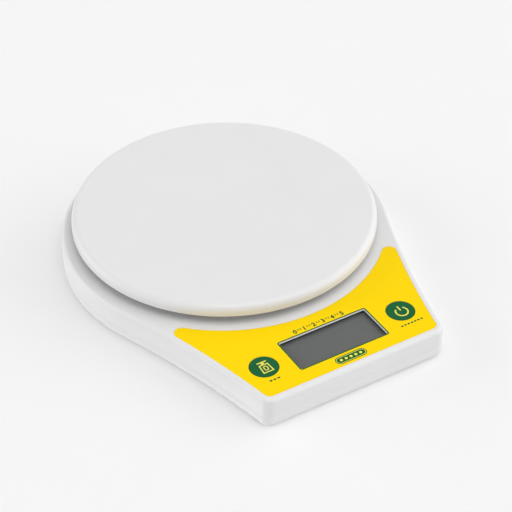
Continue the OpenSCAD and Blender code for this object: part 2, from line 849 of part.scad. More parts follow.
pan();
carrier();
carrier_bolts();
upper_shell();
lower_shell();
shell_screws();
for (f = FOOT_SIDES) {
    foot(f[1]);
}
load_cell();
gauge_potting();
load_cell_bolts();
overload_stop();
color("gray") lead(CABLE, cable_d, 8);  // load_cell_cable
circuit_board();
board_screws();
chip_cover();
board_components();
display_glass();
display_frame();
contact_strips();
display_lens();
face_label();
key(-1);  // unit_key
switch_body(-1);  // unit_switch
switch_stem(-1);  // unit_switch_stem
key(1);  // tare_key
switch_body(1);  // tare_switch
switch_stem(1);  // tare_switch_stem
battery_door();
battery(battery_y[0], 1);  // battery_front
battery(battery_y[1], 0);  // battery_rear
contact_plus();
contact_minus();
contact_link();
battery_spring(-1, battery_y[1]);  // spring_minus
battery_spring(1, battery_y[0]);  // spring_link
color("red") lead(LEAD_PLUS, lead_d, 8);  // lead_plus
color("black") lead(LEAD_MINUS, lead_d, 8);  // lead_minus
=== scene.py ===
"""Looks of a battery-powered weighing scale with a round platform.

Sizes are in millimetres in the CAD frame: +Z up, the origin on the table under the middle of the
body, -Y towards the user. A mesh is turned into metres when it is handed to Blender. Each
sub-assembly is a class whose fields are its sizes; it builds its meshes with numpy and dresses them.
"""

import json
import logging
from dataclasses import dataclass, replace
from enum import Enum
from typing import Callable, Optional, Sequence, Union

import bmesh
import bpy
import numpy as np
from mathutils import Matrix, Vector


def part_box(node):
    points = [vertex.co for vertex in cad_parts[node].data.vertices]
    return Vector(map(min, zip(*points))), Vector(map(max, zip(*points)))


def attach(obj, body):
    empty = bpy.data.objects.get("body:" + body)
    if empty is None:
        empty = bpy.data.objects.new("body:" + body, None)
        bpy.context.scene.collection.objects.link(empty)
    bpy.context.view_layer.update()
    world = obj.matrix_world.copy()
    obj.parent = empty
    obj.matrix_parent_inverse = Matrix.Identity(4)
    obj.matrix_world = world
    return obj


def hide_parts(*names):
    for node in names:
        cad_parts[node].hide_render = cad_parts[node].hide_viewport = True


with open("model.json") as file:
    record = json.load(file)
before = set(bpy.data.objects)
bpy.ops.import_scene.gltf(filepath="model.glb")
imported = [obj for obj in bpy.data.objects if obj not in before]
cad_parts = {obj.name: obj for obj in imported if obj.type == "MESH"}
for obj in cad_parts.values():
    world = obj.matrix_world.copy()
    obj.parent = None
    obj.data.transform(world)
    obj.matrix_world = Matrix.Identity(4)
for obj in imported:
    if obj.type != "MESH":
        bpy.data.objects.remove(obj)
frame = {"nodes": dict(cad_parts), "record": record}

Array = np.ndarray
Mesh = bpy.types.Mesh
Socket = bpy.types.NodeSocket
Value = Union[float, Sequence[float], Socket]
Pair = tuple[float, float]
Triple = tuple[float, float, float]
Maker = Callable[["Wiring", Socket], dict[str, Socket]]

MM = 0.001
CUT = 1.0  # how far a cutter runs past the face it opens
ROOT = 0.5  # how far a part that is joined on starts inside the wall it stands on
FLAT = 0.5  # width of the flat ring inside a shell's round edge, which keeps its shading even
WELD = 2e-7  # points nearer to each other than this become one, in metres
CREASE = 32.0  # an edge that turns by more than this is sharp, in degrees
NOISE = (0.3, 0.7)  # the values that noise mostly takes
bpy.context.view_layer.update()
CORNERS = ((1, -1, -90), (1, 1, 0), (-1, 1, 90), (-1, -1, 180))  # a rectangle's, with their first angle
FEET = ("foot_front_left", "foot_front_right", "foot_rear_left", "foot_rear_right")
log = logging.getLogger("scale")


# ---- Plan shapes ----


def box_mm(node: str) -> Array:
    """A CAD node's lowest and highest corner, as two rows."""
    return np.array(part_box(node)) / MM


def heading(start: Array, end: Array) -> float:
    """Direction from one point to another, in degrees counter-clockwise from +X."""
    return float(np.degrees(np.arctan2(end[1] - start[1], end[0] - start[0])))


def polar(centre: Sequence[float], radius: float, degrees: Value) -> Array:
    """Points on a circle, centre + radius (cos a, sin a), one row for each angle."""
    a = np.radians(np.atleast_1d(degrees))
    return np.asarray(centre) + radius * np.column_stack([np.cos(a), np.sin(a)])


def bend(centre: Sequence[float], radius: float, start: float, end: float, steps: int) -> Array:
    """Points at even angles on part of a circle, with the angles in degrees."""
    return polar(centre, radius, np.linspace(start, end, steps + 1))


def meeting(p: Array, p_reach: float, q: Array, q_reach: float, side: int) -> Array:
    """Point at one distance from p and another from q: where two circles cross.

    With l the distance from p to q, the point lies (rp^2 - rq^2 + l^2) / 2l along that line, and
    the rest of rp square to it.

    Args:
        p: First centre.
        p_reach: Distance from it.
        q: Second centre.
        q_reach: Distance from it.
        side: 1 for the crossing on the left of the way from p to q, -1 for the other.

    Returns:
        The point.
    """
    length = np.linalg.norm(q - p)
    along = (q - p) / length
    a = (p_reach**2 - q_reach**2 + length**2) / (2 * length)
    return p + a * along + side * np.sqrt(p_reach**2 - a**2) * np.array([-along[1], along[0]])


@dataclass(frozen=True)
class Arc:
    """Part of a circle; its radius is negative where the outline is hollow. Angles in degrees."""

    centre: Sequence[float]
    radius: float
    start: float
    end: float
    steps: int = 12

    def points(self, inset: float) -> Array:
        """The arc's points, moved in: centre + |radius - inset| (cos a, sin a)."""
        return bend(self.centre, abs(self.radius - inset), self.start, self.end, self.steps)


class Outline:
    """Closed plan shape of arcs, counter-clockwise, with straight sides between their ends."""

    def __init__(self, arcs: Sequence[Arc], mirrored: bool = False) -> None:
        """Keeps the arcs and finds the points that repeat where two arcs touch.

        Args:
            arcs: The arcs in order.
            mirrored: Whether they are the right-hand half of a shape with a mirror line at x = 0.
        """
        self.arcs, self.mirrored = tuple(arcs), mirrored
        raw = self._raw(0.0)
        self.kept = np.linalg.norm(raw - np.roll(raw, -1, axis=0), axis=1) > 1e-6

    def _raw(self, inset: float) -> Array:
        """All arcs' points one after the other, with the mirrored half."""
        half = np.concatenate([arc.points(inset) for arc in self.arcs])
        return np.concatenate([half, half[::-1] * (-1, 1)]) if self.mirrored else half

    def loop(self, inset: float = 0.0) -> Array:
        """The outline's points, moved in; their number is the same for every inset."""
        return self._raw(inset)[self.kept]

    def moved(self, inset: float) -> "Outline":
        """The same outline with its arcs moved in for good."""
        return Outline([replace(arc, radius=arc.radius - inset) for arc in self.arcs], self.mirrored)


def circle(x: float, y: float, diameter: float, steps: int = 48) -> Outline:
    """Round outline about (x, y)."""
    return Outline([Arc((x, y), diameter / 2, 0, 360, steps)])


def round_rect(x: float, y: float, width: float, depth: float, radius: float, steps: int = 8) -> Outline:
    """Rectangle about (x, y) with round corners of the given steps, or sharp ones at radius 0."""
    right, back, steps = width / 2 - radius, depth / 2 - radius, steps if radius else 0
    return Outline([Arc((x + i * right, y + j * back), radius, a, a + 90, steps) for i, j, a in CORNERS])


@dataclass(frozen=True)
class Plan:
    """Plan of the scale: a round rear, two hollow flanks and a straight front.

    Corner, flank, rear and pan are radii, and the rear's and the pan's centres are on the mirror line.
    """

    front: float = -99.75
    half_front: float = 48.1
    corner: float = 5.5
    flank: float = 480.0
    rear_y: float = 18.75
    rear: float = 81.0
    pan_y: float = 20.25
    pan: float = 75.0

    @property
    def rear_centre(self) -> Array:
        """Centre of the round rear."""
        return np.array([0.0, self.rear_y])

    @property
    def pan_centre(self) -> Array:
        """Centre of the platform."""
        return np.array([0.0, self.pan_y])

    @property
    def flank_centre(self) -> Array:
        """Centre of the right-hand flank, which touches the round rear and ends at the front corner."""
        corner = np.array([self.half_front, self.front])
        return meeting(self.rear_centre, self.rear + self.flank, corner, self.flank, 1)

    def flank_x(self, y: float, reach: float = 0.0) -> float:
        """Half the width at y, on the flank moved in by the reach."""
        c = self.flank_centre
        return float(c[0] - np.sqrt((self.flank + reach) ** 2 - (y - c[1]) ** 2))

    def corner_centre(self, inset: float, radius: float) -> Array:
        """Centre of a front corner of the given radius, between the front and the flank moved in."""
        y = self.front + inset + radius
        return np.array([self.flank_x(y, inset + radius), y])

    def housing(self) -> Outline:
        """Outline of the body: corner, hollow flank and half the round rear, and their mirror image.

        Returns:
            The outline.
        """
        corner, flank, rear = self.corner_centre(0, self.corner), self.flank_centre, self.rear_centre
        arcs = [
            Arc(corner, self.corner, -90, heading(corner, flank), 12),
            Arc(flank, -self.flank, heading(flank, corner), heading(flank, rear), 40),
            Arc(rear, self.rear, heading(rear, flank), 90, 72),
        ]
        return Outline(arcs, mirrored=True)

    def label(self, margin: float, gap: float, corner: float, tip: float) -> Outline:
        """Outline of the face label, which goes round the platform and along the flanks.

        Args:
            margin: Distance inside the body's outline.
            gap: Distance outside the platform's edge.
            corner: Radius of the front corners.
            tip: Radius of the two rear tips.

        Returns:
            The outline.
        """
        flank, pan, low = self.flank_centre, self.pan_centre, self.corner_centre(margin, corner)
        reach = self.pan + gap
        top = meeting(pan, reach + tip, flank, self.flank + margin + tip, -1)
        arcs = [
            Arc(low, corner, -90, heading(low, flank), 12),
            Arc(flank, -self.flank - margin, heading(flank, low), heading(flank, top), 32),
            Arc(top, tip, heading(top, flank), heading(top, pan), 16),
            Arc(pan, -reach, heading(pan, top), -90, 48),
        ]
        return Outline(arcs, mirrored=True)


def edged(
    z0: float, z1: float, top: float = 0.0, bottom: float = 0.0, steps: int = 6, rim: float = 0.0
) -> Array:
    """Side of a slab with a quarter circle at each end.

    Args:
        z0: Height of the underside.
        z1: Height of the upper side.
        top: Radius of the upper edge.
        bottom: Radius of the lower edge.
        steps: Sides to a quarter circle.
        rim: Width of a flat ring inside a round edge, which keeps the shading of the face flat.

    Returns:
        Rows of (inset, height) from the bottom up.
    """
    low = bend((bottom, z0 + bottom), bottom, -90, -180, steps if bottom else 0)
    high = bend((top, z1 - top), top, 180, 90, steps if top else 0)
    under = [(bottom + rim, z0)] if rim and bottom else np.empty((0, 2))
    over = [(top + rim, z1)] if rim and top else np.empty((0, 2))
    return np.concatenate([under, low, high, over])


# ---- Meshes ----


class Solid:
    """Collects closed surfaces and turns them into one mesh."""

    def __init__(self) -> None:
        """Starts empty."""
        self.points: list[Array] = []
        self.faces: list[list[int]] = []
        self.paints: list[int] = []
        self.count = 0

    def add(self, points: Array, faces: list[list[int]], paint: int = 0) -> "Solid":
        """Adds points and faces.

        Args:
            points: One row for each point.
            faces: Indices that count from this solid's first point.
            paint: Index of the material.

        Returns:
            This solid.
        """
        self.points.append(points)
        self.faces += faces
        self.paints += [paint] * len(faces)
        self.count += len(points)
        return self

    def grid(self, points: Array, wrap_rows: bool = False, ends: bool = True, paint: int = 0) -> "Solid":
        """Adds a surface of rows that each close into a ring: point (i, j) joins (i, j+1) and (i+1, j).

        Args:
            points: Rows x columns x 3.
            wrap_rows: Whether the last row joins the first.
            ends: Whether the first and last row are closed with a flat face.
            paint: Index of the material.

        Returns:
            This solid.
        """
        rows, columns = points.shape[:2]
        index = self.count + np.arange(rows * columns).reshape(rows, columns)
        table = np.hstack([index, index[:, :1]])
        table = np.vstack([table, table[:1]]) if wrap_rows else table
        quads = np.stack([table[:-1, :-1], table[:-1, 1:], table[1:, 1:], table[1:, :-1]], axis=-1)
        faces = quads.reshape(-1, 4).tolist()
        if ends and not wrap_rows:
            faces += [index[0, ::-1].tolist(), index[-1].tolist()]
        return self.add(points.reshape(-1, 3), faces, paint)

    def sweep(self, outline: Outline, profile: Array, ring: bool = False) -> "Solid":
        """Adds the surface (outline moved in by the inset, height); a ring's profile closes."""
        rows = [np.insert(outline.loop(inset), 2, height, axis=1) for inset, height in profile]
        return self.grid(np.stack(rows), wrap_rows=ring)

    def slab(self, outline: Outline, z0: float, z1: float, **edges: float) -> "Solid":
        """Adds a slab between two heights, with round edges as edged() gives them."""
        return self.sweep(outline, edged(z0, z1, **edges))

    def band(self, outline: Outline, low: Pair, high: Pair, z0: float, z1: float) -> "Solid":
        """Adds a ring between two insets, low at z0 and high at z1."""
        profile = np.array([(low[0], z0), (low[1], z0), (high[1], z1), (high[0], z1)])
        return self.sweep(outline, profile, ring=True)

    def block(self, x: float, width: float, y: Pair, z: Pair, edge: float = 0.0) -> "Solid":
        """Adds a box about x, between two places along Y and two heights, with round edges."""
        plan = round_rect(x, (y[0] + y[1]) / 2, width, y[1] - y[0], edge, 3)
        return self.slab(plan, *z, top=edge, bottom=edge, steps=3)

    def discs(self, spots: Sequence[Pair], diameter: float, z0: float, z1: float, steps: int = 48) -> "Solid":
        """Adds the same upright cylinder at several spots.

        Args:
            spots: Middles in plan.
            diameter: The cylinder's diameter.
            z0: Height of its underside.
            z1: Height of its upper side.
            steps: Sides to a full turn.

        Returns:
            This solid.
        """
        for x, y in spots:
            self.slab(circle(x, y, diameter, steps), z0, z1)
        return self

    def revolve(
        self,
        profile: Array,
        origin: Sequence[float],
        steps: int = 64,
        span: Optional[Pair] = None,
        along_x: bool = False,
        paint: int = 0,
    ) -> "Solid":
        """Adds a turned surface: (r cos a, r sin a, h) for each (r, h) of the profile.

        Args:
            profile: Rows of (radius, height).
            origin: Point that the axis goes through.
            steps: Sides to a full turn.
            span: First and last angle, in degrees, of a part turn; its profile closes.
            along_x: Whether the axis is X, not Z.
            paint: Index of the material.

        Returns:
            This solid.
        """
        a = np.radians(np.linspace(*(span or (0, 360 - 360 / steps)), steps))
        r, h = np.asarray(profile, float).T
        parts = [np.outer(r, np.cos(a)), np.outer(r, np.sin(a)), np.repeat(h[:, None], steps, axis=1)]
        order = [2, 0, 1] if along_x else [0, 1, 2]
        turned = np.stack(parts, axis=-1)[..., order] + np.asarray(origin, float)
        if span:
            return self.grid(turned.transpose(1, 0, 2), paint=paint)
        return self.grid(turned, ends=False, paint=paint)

    def tube(self, path: Array, diameter: float, sides: int, up: Triple) -> "Solid":
        """Adds a round wire: path + d/2 (cos a n + sin a b), with n and b square to the path.

        Args:
            path: Points that the wire follows.
            diameter: Its diameter.
            sides: Sides of its section.
            up: A direction that the path never takes.

        Returns:
            This solid.
        """
        way = np.gradient(path, axis=0)
        way /= np.linalg.norm(way, axis=1, keepdims=True)
        n = np.cross(way, up)
        n /= np.linalg.norm(n, axis=1, keepdims=True)
        b = np.cross(way, n)
        a = np.linspace(0, 2 * np.pi, sides, endpoint=False)[None, :, None]
        return self.grid(path[:, None] + diameter / 2 * (np.cos(a) * n[:, None] + np.sin(a) * b[:, None]))

    def stroke(self, path: Array, width: float, z0: float, z1: float, closed: bool = False) -> "Solid":
        """Adds a flat stroke of even width along a path, with mitred corners.

        At each point the side direction is (n1 + n2) / (1 + n1.n2), from the normals of both sides.

        Args:
            path: Points in plan.
            width: Width of the stroke.
            z0: Height of its underside.
            z1: Height of its upper side.
            closed: Whether the last point joins the first.

        Returns:
            This solid.
        """
        path = np.asarray(path, float)
        along = np.roll(path, -1, axis=0) - path
        along /= np.linalg.norm(along, axis=1, keepdims=True)
        before = np.roll(along, 1, axis=0)
        if not closed:
            before[0], along[-1] = along[0], along[-2]
        square = np.column_stack([-along[:, 1], along[:, 0]])
        last = np.column_stack([-before[:, 1], before[:, 0]])
        side = (square + last) / (1 + np.sum(square * last, axis=1, keepdims=True)) * width / 2
        corners = [(path + side, z0), (path + side, z1), (path - side, z1), (path - side, z0)]
        return self.grid(np.stack([np.insert(p, 2, z, axis=1) for p, z in corners], axis=1), wrap_rows=closed)

    def figures(self, text: str, x: float, y: float, height: float, z0: float, z1: float) -> "Solid":
        """Adds plain figures set in Blender's own typeface, middled on (x, y).

        Args:
            text: The figures.
            x: Middle along X.
            y: Middle along Y.
            height: Height of a figure.
            z0: Height of their underside.
            z1: Height of their upper side.

        Returns:
            This solid.
        """
        curve = bpy.data.curves.new("figures", "FONT")
        curve.body, curve.align_x, curve.align_y = text, "CENTER", "CENTER"
        curve.extrude, curve.resolution_u, curve.offset = 0.5, 5, 0.04
        mesh = settled(placed("figures", curve))
        points = np.empty(len(mesh.vertices) * 3, np.float32)
        starts, corners = np.empty(len(mesh.polygons), int), np.empty(len(mesh.loops), int)
        mesh.vertices.foreach_get("co", points)
        mesh.polygons.foreach_get("loop_start", starts)
        mesh.loops.foreach_get("vertex_index", corners)
        points = points.reshape(-1, 3).astype(float)
        low, high = points.min(axis=0), points.max(axis=0)
        size = height / (high[1] - low[1])
        points = (points - (low + high) / 2) * (size, size, z1 - z0) + (x, y, (z0 + z1) / 2)
        faces = [part.tolist() for part in np.split(corners + self.count, starts[1:])]
        bpy.data.curves.remove(curve)
        bpy.data.meshes.remove(mesh)
        return self.add(points, faces)

    def mesh(self) -> Mesh:
        """Welds the points, turns the faces outwards and gives the mesh, in metres.

        Returns:
            The mesh.
        """
        mesh = bpy.data.meshes.new("solid")
        mesh.from_pydata(np.concatenate(self.points) * MM, [], self.faces)
        mesh.polygons.foreach_set("material_index", np.array(self.paints, np.int32))
        work = bmesh.new()
        work.from_mesh(mesh)
        bmesh.ops.remove_doubles(work, verts=work.verts, dist=WELD)
        bmesh.ops.dissolve_degenerate(work, edges=work.edges, dist=WELD / 2)
        bmesh.ops.recalc_face_normals(work, faces=work.faces)
        work.to_mesh(mesh)
        work.free()
        mesh.update()
        return mesh


def placed(name: str, data: bpy.types.ID) -> bpy.types.Object:
    """Puts data into the scene as an object at the origin.

    Args:
        name: The object's name.
        data: A mesh, curve, light or camera.

    Returns:
        The object.
    """
    made = bpy.data.objects.new(name, data)
    bpy.context.collection.objects.link(made)
    return made


def settled(made: bpy.types.Object) -> Mesh:
    """Takes an object away and leaves its mesh, with its modifiers applied.

    Args:
        made: The object.

    Returns:
        The mesh.
    """
    mesh = bpy.data.meshes.new_from_object(made.evaluated_get(bpy.context.evaluated_depsgraph_get()))
    bpy.data.objects.remove(made)
    return mesh


class Cut(Enum):
    """What a step of carving does with its tool."""

    JOIN = "UNION"
    TAKE = "DIFFERENCE"


def carved(base: Solid, steps: Sequence[tuple[Cut, Solid]]) -> Mesh:
    """Joins tools to a solid and cuts tools from it, in order.

    Args:
        base: What the work starts from.
        steps: What is done, and the closed solids it is done with.

    Returns:
        The finished mesh.
    """
    mesh = base.mesh()
    for cut, solid in steps:
        block, tool = placed("block", mesh), placed("tool", solid.mesh())
        step = block.modifiers.new("step", "BOOLEAN")
        step.operation, step.object, step.solver = cut.value, tool, "MANIFOLD"
        mesh = settled(block)
        bpy.data.objects.remove(tool)
    return mesh


# ---- Materials ----


class Wiring:
    """Places and joins shader nodes in one tree."""

    def __init__(self, tree: bpy.types.NodeTree, effects: Optional["Effects"] = None) -> None:
        """Keeps the tree that the nodes go into, and the node groups that it may use."""
        self.tree, self.effects = tree, effects

    def node(self, kind: str, inputs: Optional[dict] = None, **settings: object) -> bpy.types.Node:
        """Adds a node.

        Args:
            kind: Its type, without the ShaderNode that all types start with.
            inputs: A value or a socket for each input, by name or index.
            settings: The node's own settings.

        Returns:
            The node.
        """
        node = self.tree.nodes.new(kind if kind.startswith("NodeGroup") else "ShaderNode" + kind)
        for name, value in settings.items():
            setattr(node, name, value)
        for key, value in (inputs or {}).items():
            self.join(value, node.inputs[key])
        return node

    def join(self, value: Value, socket: Socket) -> None:
        """Links a socket to an input, or sets the input's own value.

        Args:
            value: The socket or the value.
            socket: The input.
        """
        if isinstance(value, Socket):
            self.tree.links.new(value, socket)
        elif socket.type == "RGBA" and len(value) == 3:
            socket.default_value = (*value, 1.0)
        else:
            socket.default_value = value

    def effect(self, group: bpy.types.NodeTree, given: float) -> bpy.types.bpy_prop_collection:
        """Places a node group with a value of its own, and gives its outputs."""
        return self.node("Group", {0: given}, node_tree=group).outputs

    def math(self, operation: str, *values: Value) -> Socket:
        """One step of arithmetic on numbers."""
        return self.node("Math", dict(enumerate(values)), operation=operation).outputs[0]

    def remap(
        self, value: Socket, low: float, high: float, to_low: float = 0.0, to_high: float = 1.0
    ) -> Socket:
        """The value moved from one range to another, and kept inside it."""
        inputs = {0: value, 1: low, 2: high, 3: to_low, 4: to_high}
        return self.node("MapRange", inputs, clamp=True).outputs[0]

    def spread(self, value: Socket, to_low: float = 0.0, to_high: float = 1.0) -> Socket:
        """The values that noise mostly takes moved to a range."""
        return self.remap(value, *NOISE, to_low, to_high)

    def mix(self, share: Value, first: Value, second: Value) -> Socket:
        """Two colours mixed: the first at share 0, the second at 1."""
        return self.node("Mix", {0: share, 6: first, 7: second}, data_type="RGBA").outputs[2]

    def place(self, scale: Triple = (1000.0, 1000.0, 1000.0)) -> Socket:
        """The piece's own coordinates, in millimetres unless another scale is given."""
        coordinates = self.node("TexCoord").outputs["Object"]
        return self.node("Mapping", {"Vector": coordinates, "Scale": scale}).outputs["Vector"]

    def along_x(self) -> Socket:
        """The piece's own place along X, in millimetres."""
        return self.node("SeparateXYZ", {0: self.place()}).outputs["X"]

    def noise(self, place: Socket, scale: Value, detail: float = 2.0) -> Socket:
        """Noise, from 0 to 1, with the given features to a millimetre."""
        return self.node("TexNoise", {"Vector": place, "Scale": scale, "Detail": detail}).outputs["Fac"]


class Effects:
    """Shader node groups that more than one material uses. Scales are in features to a millimetre."""

    slow: float = 0.035
    patchy: float = 0.35
    cloudy: float = 0.4
    broken: float = 1.5
    patches: float = 0.03
    scratch: float = 90.0
    scratches: tuple[Pair, ...] = ((0.5, 9.0), (-0.9, 12.0))  # how far each set is turned and drawn out
    hair: float = 0.006  # half a mark's width, as the noise's distance from its middle value
    patch: Pair = (0.45, 0.65)  # the noise at which marks begin and are all there
    gap: Pair = (0.35, 0.6)  # the noise at which wear begins and is all there
    turn: Pair = (0.99, 0.8)  # the cosine at which an edge's wear begins and is all there
    drawn: Triple = (60.0, 1000.0, 1000.0)

    def __init__(self) -> None:
        """Makes the four groups."""
        self.skin = self.group("moulded_skin", "Grain", self._skin)
        self.scuffs = self.group("scuffs", "Amount", self._scuffs)
        self.brushed = self.group("brushed", "Streaks", self._brushed)
        self.edges = self.group("worn_edges", "Width", self._edges)

    @staticmethod
    def group(name: str, given: str, make: Maker) -> bpy.types.NodeTree:
        """Makes a node group with one number for its input.

        Args:
            name: The group's name.
            given: The input's name.
            make: Wires the group from its input, and gives its outputs by name.

        Returns:
            The group.
        """
        tree = bpy.data.node_groups.new(name, "ShaderNodeTree")
        tree.interface.new_socket(given, in_out="INPUT", socket_type="NodeSocketFloat")
        wiring = Wiring(tree)
        sockets = make(wiring, wiring.node("NodeGroupInput").outputs[given])
        for title in sockets:
            tree.interface.new_socket(title, in_out="OUTPUT", socket_type="NodeSocketFloat")
        wiring.node("NodeGroupOutput", sockets)
        return tree

    def _skin(self, wiring: Wiring, grain: Socket) -> dict[str, Socket]:
        """Moulded skin: a fine grain, slow changes of tone and changes of gloss in between.

        Args:
            wiring: Where it goes.
            grain: Features to a millimetre.

        Returns:
            Its outputs by name.
        """
        place = wiring.place()
        tone, gloss = wiring.noise(place, self.slow), wiring.noise(place, self.patchy, 4.0)
        height = wiring.noise(place, grain, 3.0)
        return {"Height": height, "Tone": wiring.spread(tone), "Gloss": wiring.spread(gloss)}

    def _scuffs(self, wiring: Wiring, amount: Socket) -> dict[str, Socket]:
        """Hairline marks of use: noise drawn out along two directions, cut to thin lines in patches.

        Args:
            wiring: Where it goes.
            amount: How strongly they show.

        Returns:
            Its outputs by name.
        """
        coordinates, lines = wiring.node("TexCoord").outputs["Object"], []
        for turn, stretch in self.scratches:
            turned = wiring.node("Mapping", {"Vector": coordinates, "Rotation": (0.0, 0.0, turn)}).outputs[0]
            scale = (self.scratch, self.scratch * stretch, self.scratch)
            drawn = wiring.node("Mapping", {"Vector": turned, "Scale": scale}).outputs[0]
            ridge = wiring.math("ABSOLUTE", wiring.math("SUBTRACT", wiring.noise(drawn, 1.0, 1.0), 0.5))
            lines.append(wiring.remap(ridge, 0.0, self.hair, 1.0, 0.0))
        patches = wiring.remap(wiring.noise(wiring.place(), self.patches), *self.patch)
        found = wiring.math("MULTIPLY", wiring.math("MAXIMUM", *lines), patches)
        return {"Mask": wiring.math("MULTIPLY", found, amount)}

    def _brushed(self, wiring: Wiring, streaks: Socket) -> dict[str, Socket]:
        """Brushed or rolled metal: fine streaks along X, with a cloudier tone."""
        drawn, clouds = wiring.place(self.drawn), wiring.noise(wiring.place(), self.cloudy, 3.0)
        return {"Height": wiring.noise(drawn, streaks, 3.0), "Tone": wiring.spread(clouds)}

    def _edges(self, wiring: Wiring, width: Socket) -> dict[str, Socket]:
        """Worn edges: where the normal turns within a small radius, broken up by noise.

        Args:
            wiring: Where it goes.
            width: How far the wear reaches, in millimetres.

        Returns:
            Its outputs by name.
        """
        radius = wiring.math("MULTIPLY", width, MM)
        soft = wiring.node("Bevel", {"Radius": radius}, samples=4).outputs["Normal"]
        hard = wiring.node("NewGeometry").outputs["Normal"]
        dot = wiring.node("VectorMath", {0: soft, 1: hard}, operation="DOT_PRODUCT").outputs["Value"]
        broken = wiring.remap(wiring.noise(wiring.place(), self.broken, 4.0), *self.gap)
        return {"Mask": wiring.math("MULTIPLY", wiring.remap(dot, *self.turn), broken)}


class Slot(Enum):
    """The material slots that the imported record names."""

    WHITE = "white_plastic"
    CARRIER = "carrier_plastic"
    STEEL = "screw_steel"
    RUBBER = "foot_rubber"
    ALUMINIUM = "cell_aluminium"
    POTTING = "potting_silicone"
    SHEATH = "cable_sleeve"
    LAMINATE = "board_laminate"
    RESIN = "black_resin"
    COMPONENT = "component_body"
    DISPLAY = "display_dark"
    STRIP = "strip_rubber"
    LENS = "clear_lens"
    LABEL = "label_yellow"
    KEY = "key_green"
    STEM = "stem_grey"
    BATTERY = "battery_sleeve"
    NICKEL = "contact_nickel"
    RED = "lead_red"
    BLACK = "lead_black"


@dataclass(frozen=True)
class Finish:
    """A plain opaque finish: colour, gloss and the grain of its surface.

    Grain is in features to a millimetre, depth in millimetres. Tone and gloss say how much colour
    and roughness change over the surface, and coat is a clear coat's weight and roughness. A finish
    of another kind has its own shader().
    """

    colour: Triple
    roughness: float = 0.4
    grain: float = 3.0
    depth: float = 0.004
    tone: float = 0.02
    gloss: float = 0.04
    shine: float = 0.5
    metallic: float = 0.0
    coat: Pair = (0.0, 0.03)

    def material(self, name: str, effects: Effects) -> bpy.types.Material:
        """Makes the material.

        Args:
            name: Its name.
            effects: The shared node groups.

        Returns:
            The material.
        """
        made = bpy.data.materials.new(name)
        made.use_nodes = True
        made.diffuse_color = (*self.colour, 1.0)
        made.node_tree.nodes.clear()
        wiring = Wiring(made.node_tree, effects)
        wiring.node("OutputMaterial", {"Surface": self.shader(wiring)})
        return made

    def shader(self, wiring: Wiring) -> Socket:
        """The surface's shader."""
        return self.principled(wiring, *self.base(wiring))

    def shade(self, factor: float) -> Triple:
        """The finish's colour, lighter or darker."""
        return tuple(min(c * factor, 1.0) for c in self.colour)

    def rough(self, wiring: Wiring, value: Socket, low: float, high: float) -> Socket:
        """Roughness from a value between low and high: the finish's own, less and more its gloss."""
        return wiring.remap(value, low, high, self.roughness - self.gloss, self.roughness + self.gloss)

    def base(self, wiring: Wiring) -> tuple[Socket, Socket, Socket]:
        """The moulded skin.

        Args:
            wiring: Where it goes.

        Returns:
            Its colour, roughness and height.
        """
        skin = wiring.effect(wiring.effects.skin, self.grain)
        colour = wiring.mix(skin["Tone"], self.shade(1 - self.tone), self.shade(1 + self.tone))
        return colour, self.rough(wiring, skin["Gloss"], 0.0, 1.0), skin["Height"]

    def principled(self, wiring: Wiring, colour: Value, roughness: Value, height: Socket) -> Socket:
        """A Principled BSDF with a bump from the height.

        Args:
            wiring: Where it goes.
            colour: Base colour.
            roughness: Roughness.
            height: Height of the surface, from 0 to 1.

        Returns:
            Its output.
        """
        bump = wiring.node("Bump", {"Height": height, "Distance": self.depth * MM, "Strength": 1.0})
        inputs = {
            "Base Color": colour,
            "Roughness": roughness,
            "Normal": bump.outputs[0],
            "Specular IOR Level": self.shine,
            "Metallic": self.metallic,
            "Coat Weight": self.coat[0],
            "Coat Roughness": self.coat[1],
        }
        return wiring.node("BsdfPrincipled", inputs).outputs[0]


@dataclass(frozen=True)
class Scuffed(Finish):
    """A moulded surface with a few hairline marks, which only show in its gloss."""

    marks: float = 0.5
    rub: float = 0.12

    def shader(self, wiring: Wiring) -> Socket:
        """The skin, a little rougher along the marks.

        Args:
            wiring: Where it goes.

        Returns:
            Its output.
        """
        colour, roughness, height = self.base(wiring)
        lines = wiring.effect(wiring.effects.scuffs, self.marks)["Mask"]
        roughness = wiring.math("ADD", roughness, wiring.math("MULTIPLY", lines, self.rub))
        return self.principled(wiring, colour, roughness, height)


@dataclass(frozen=True)
class Metal(Finish):
    """Bare or plated metal with fine streaks and brighter, worn edges."""

    metallic: float = 1.0
    streaks: float = 12.0
    wear: float = 0.5
    worn_wide: float = 0.25
    bright: float = 1.25

    def shader(self, wiring: Wiring) -> Socket:
        """The metal, with its tone from the streaks' cloudiness and its edges rubbed bright.

        Args:
            wiring: Where it goes.

        Returns:
            Its output.
        """
        brushed = wiring.effect(wiring.effects.brushed, self.streaks)
        edges = wiring.effect(wiring.effects.edges, self.worn_wide)["Mask"]
        colour = wiring.mix(brushed["Tone"], self.shade(1 - self.tone), self.colour)
        colour = wiring.mix(wiring.math("MULTIPLY", edges, self.wear), colour, self.shade(self.bright))
        roughness = self.rough(wiring, brushed["Height"], *NOISE)
        return self.principled(wiring, colour, roughness, brushed["Height"])


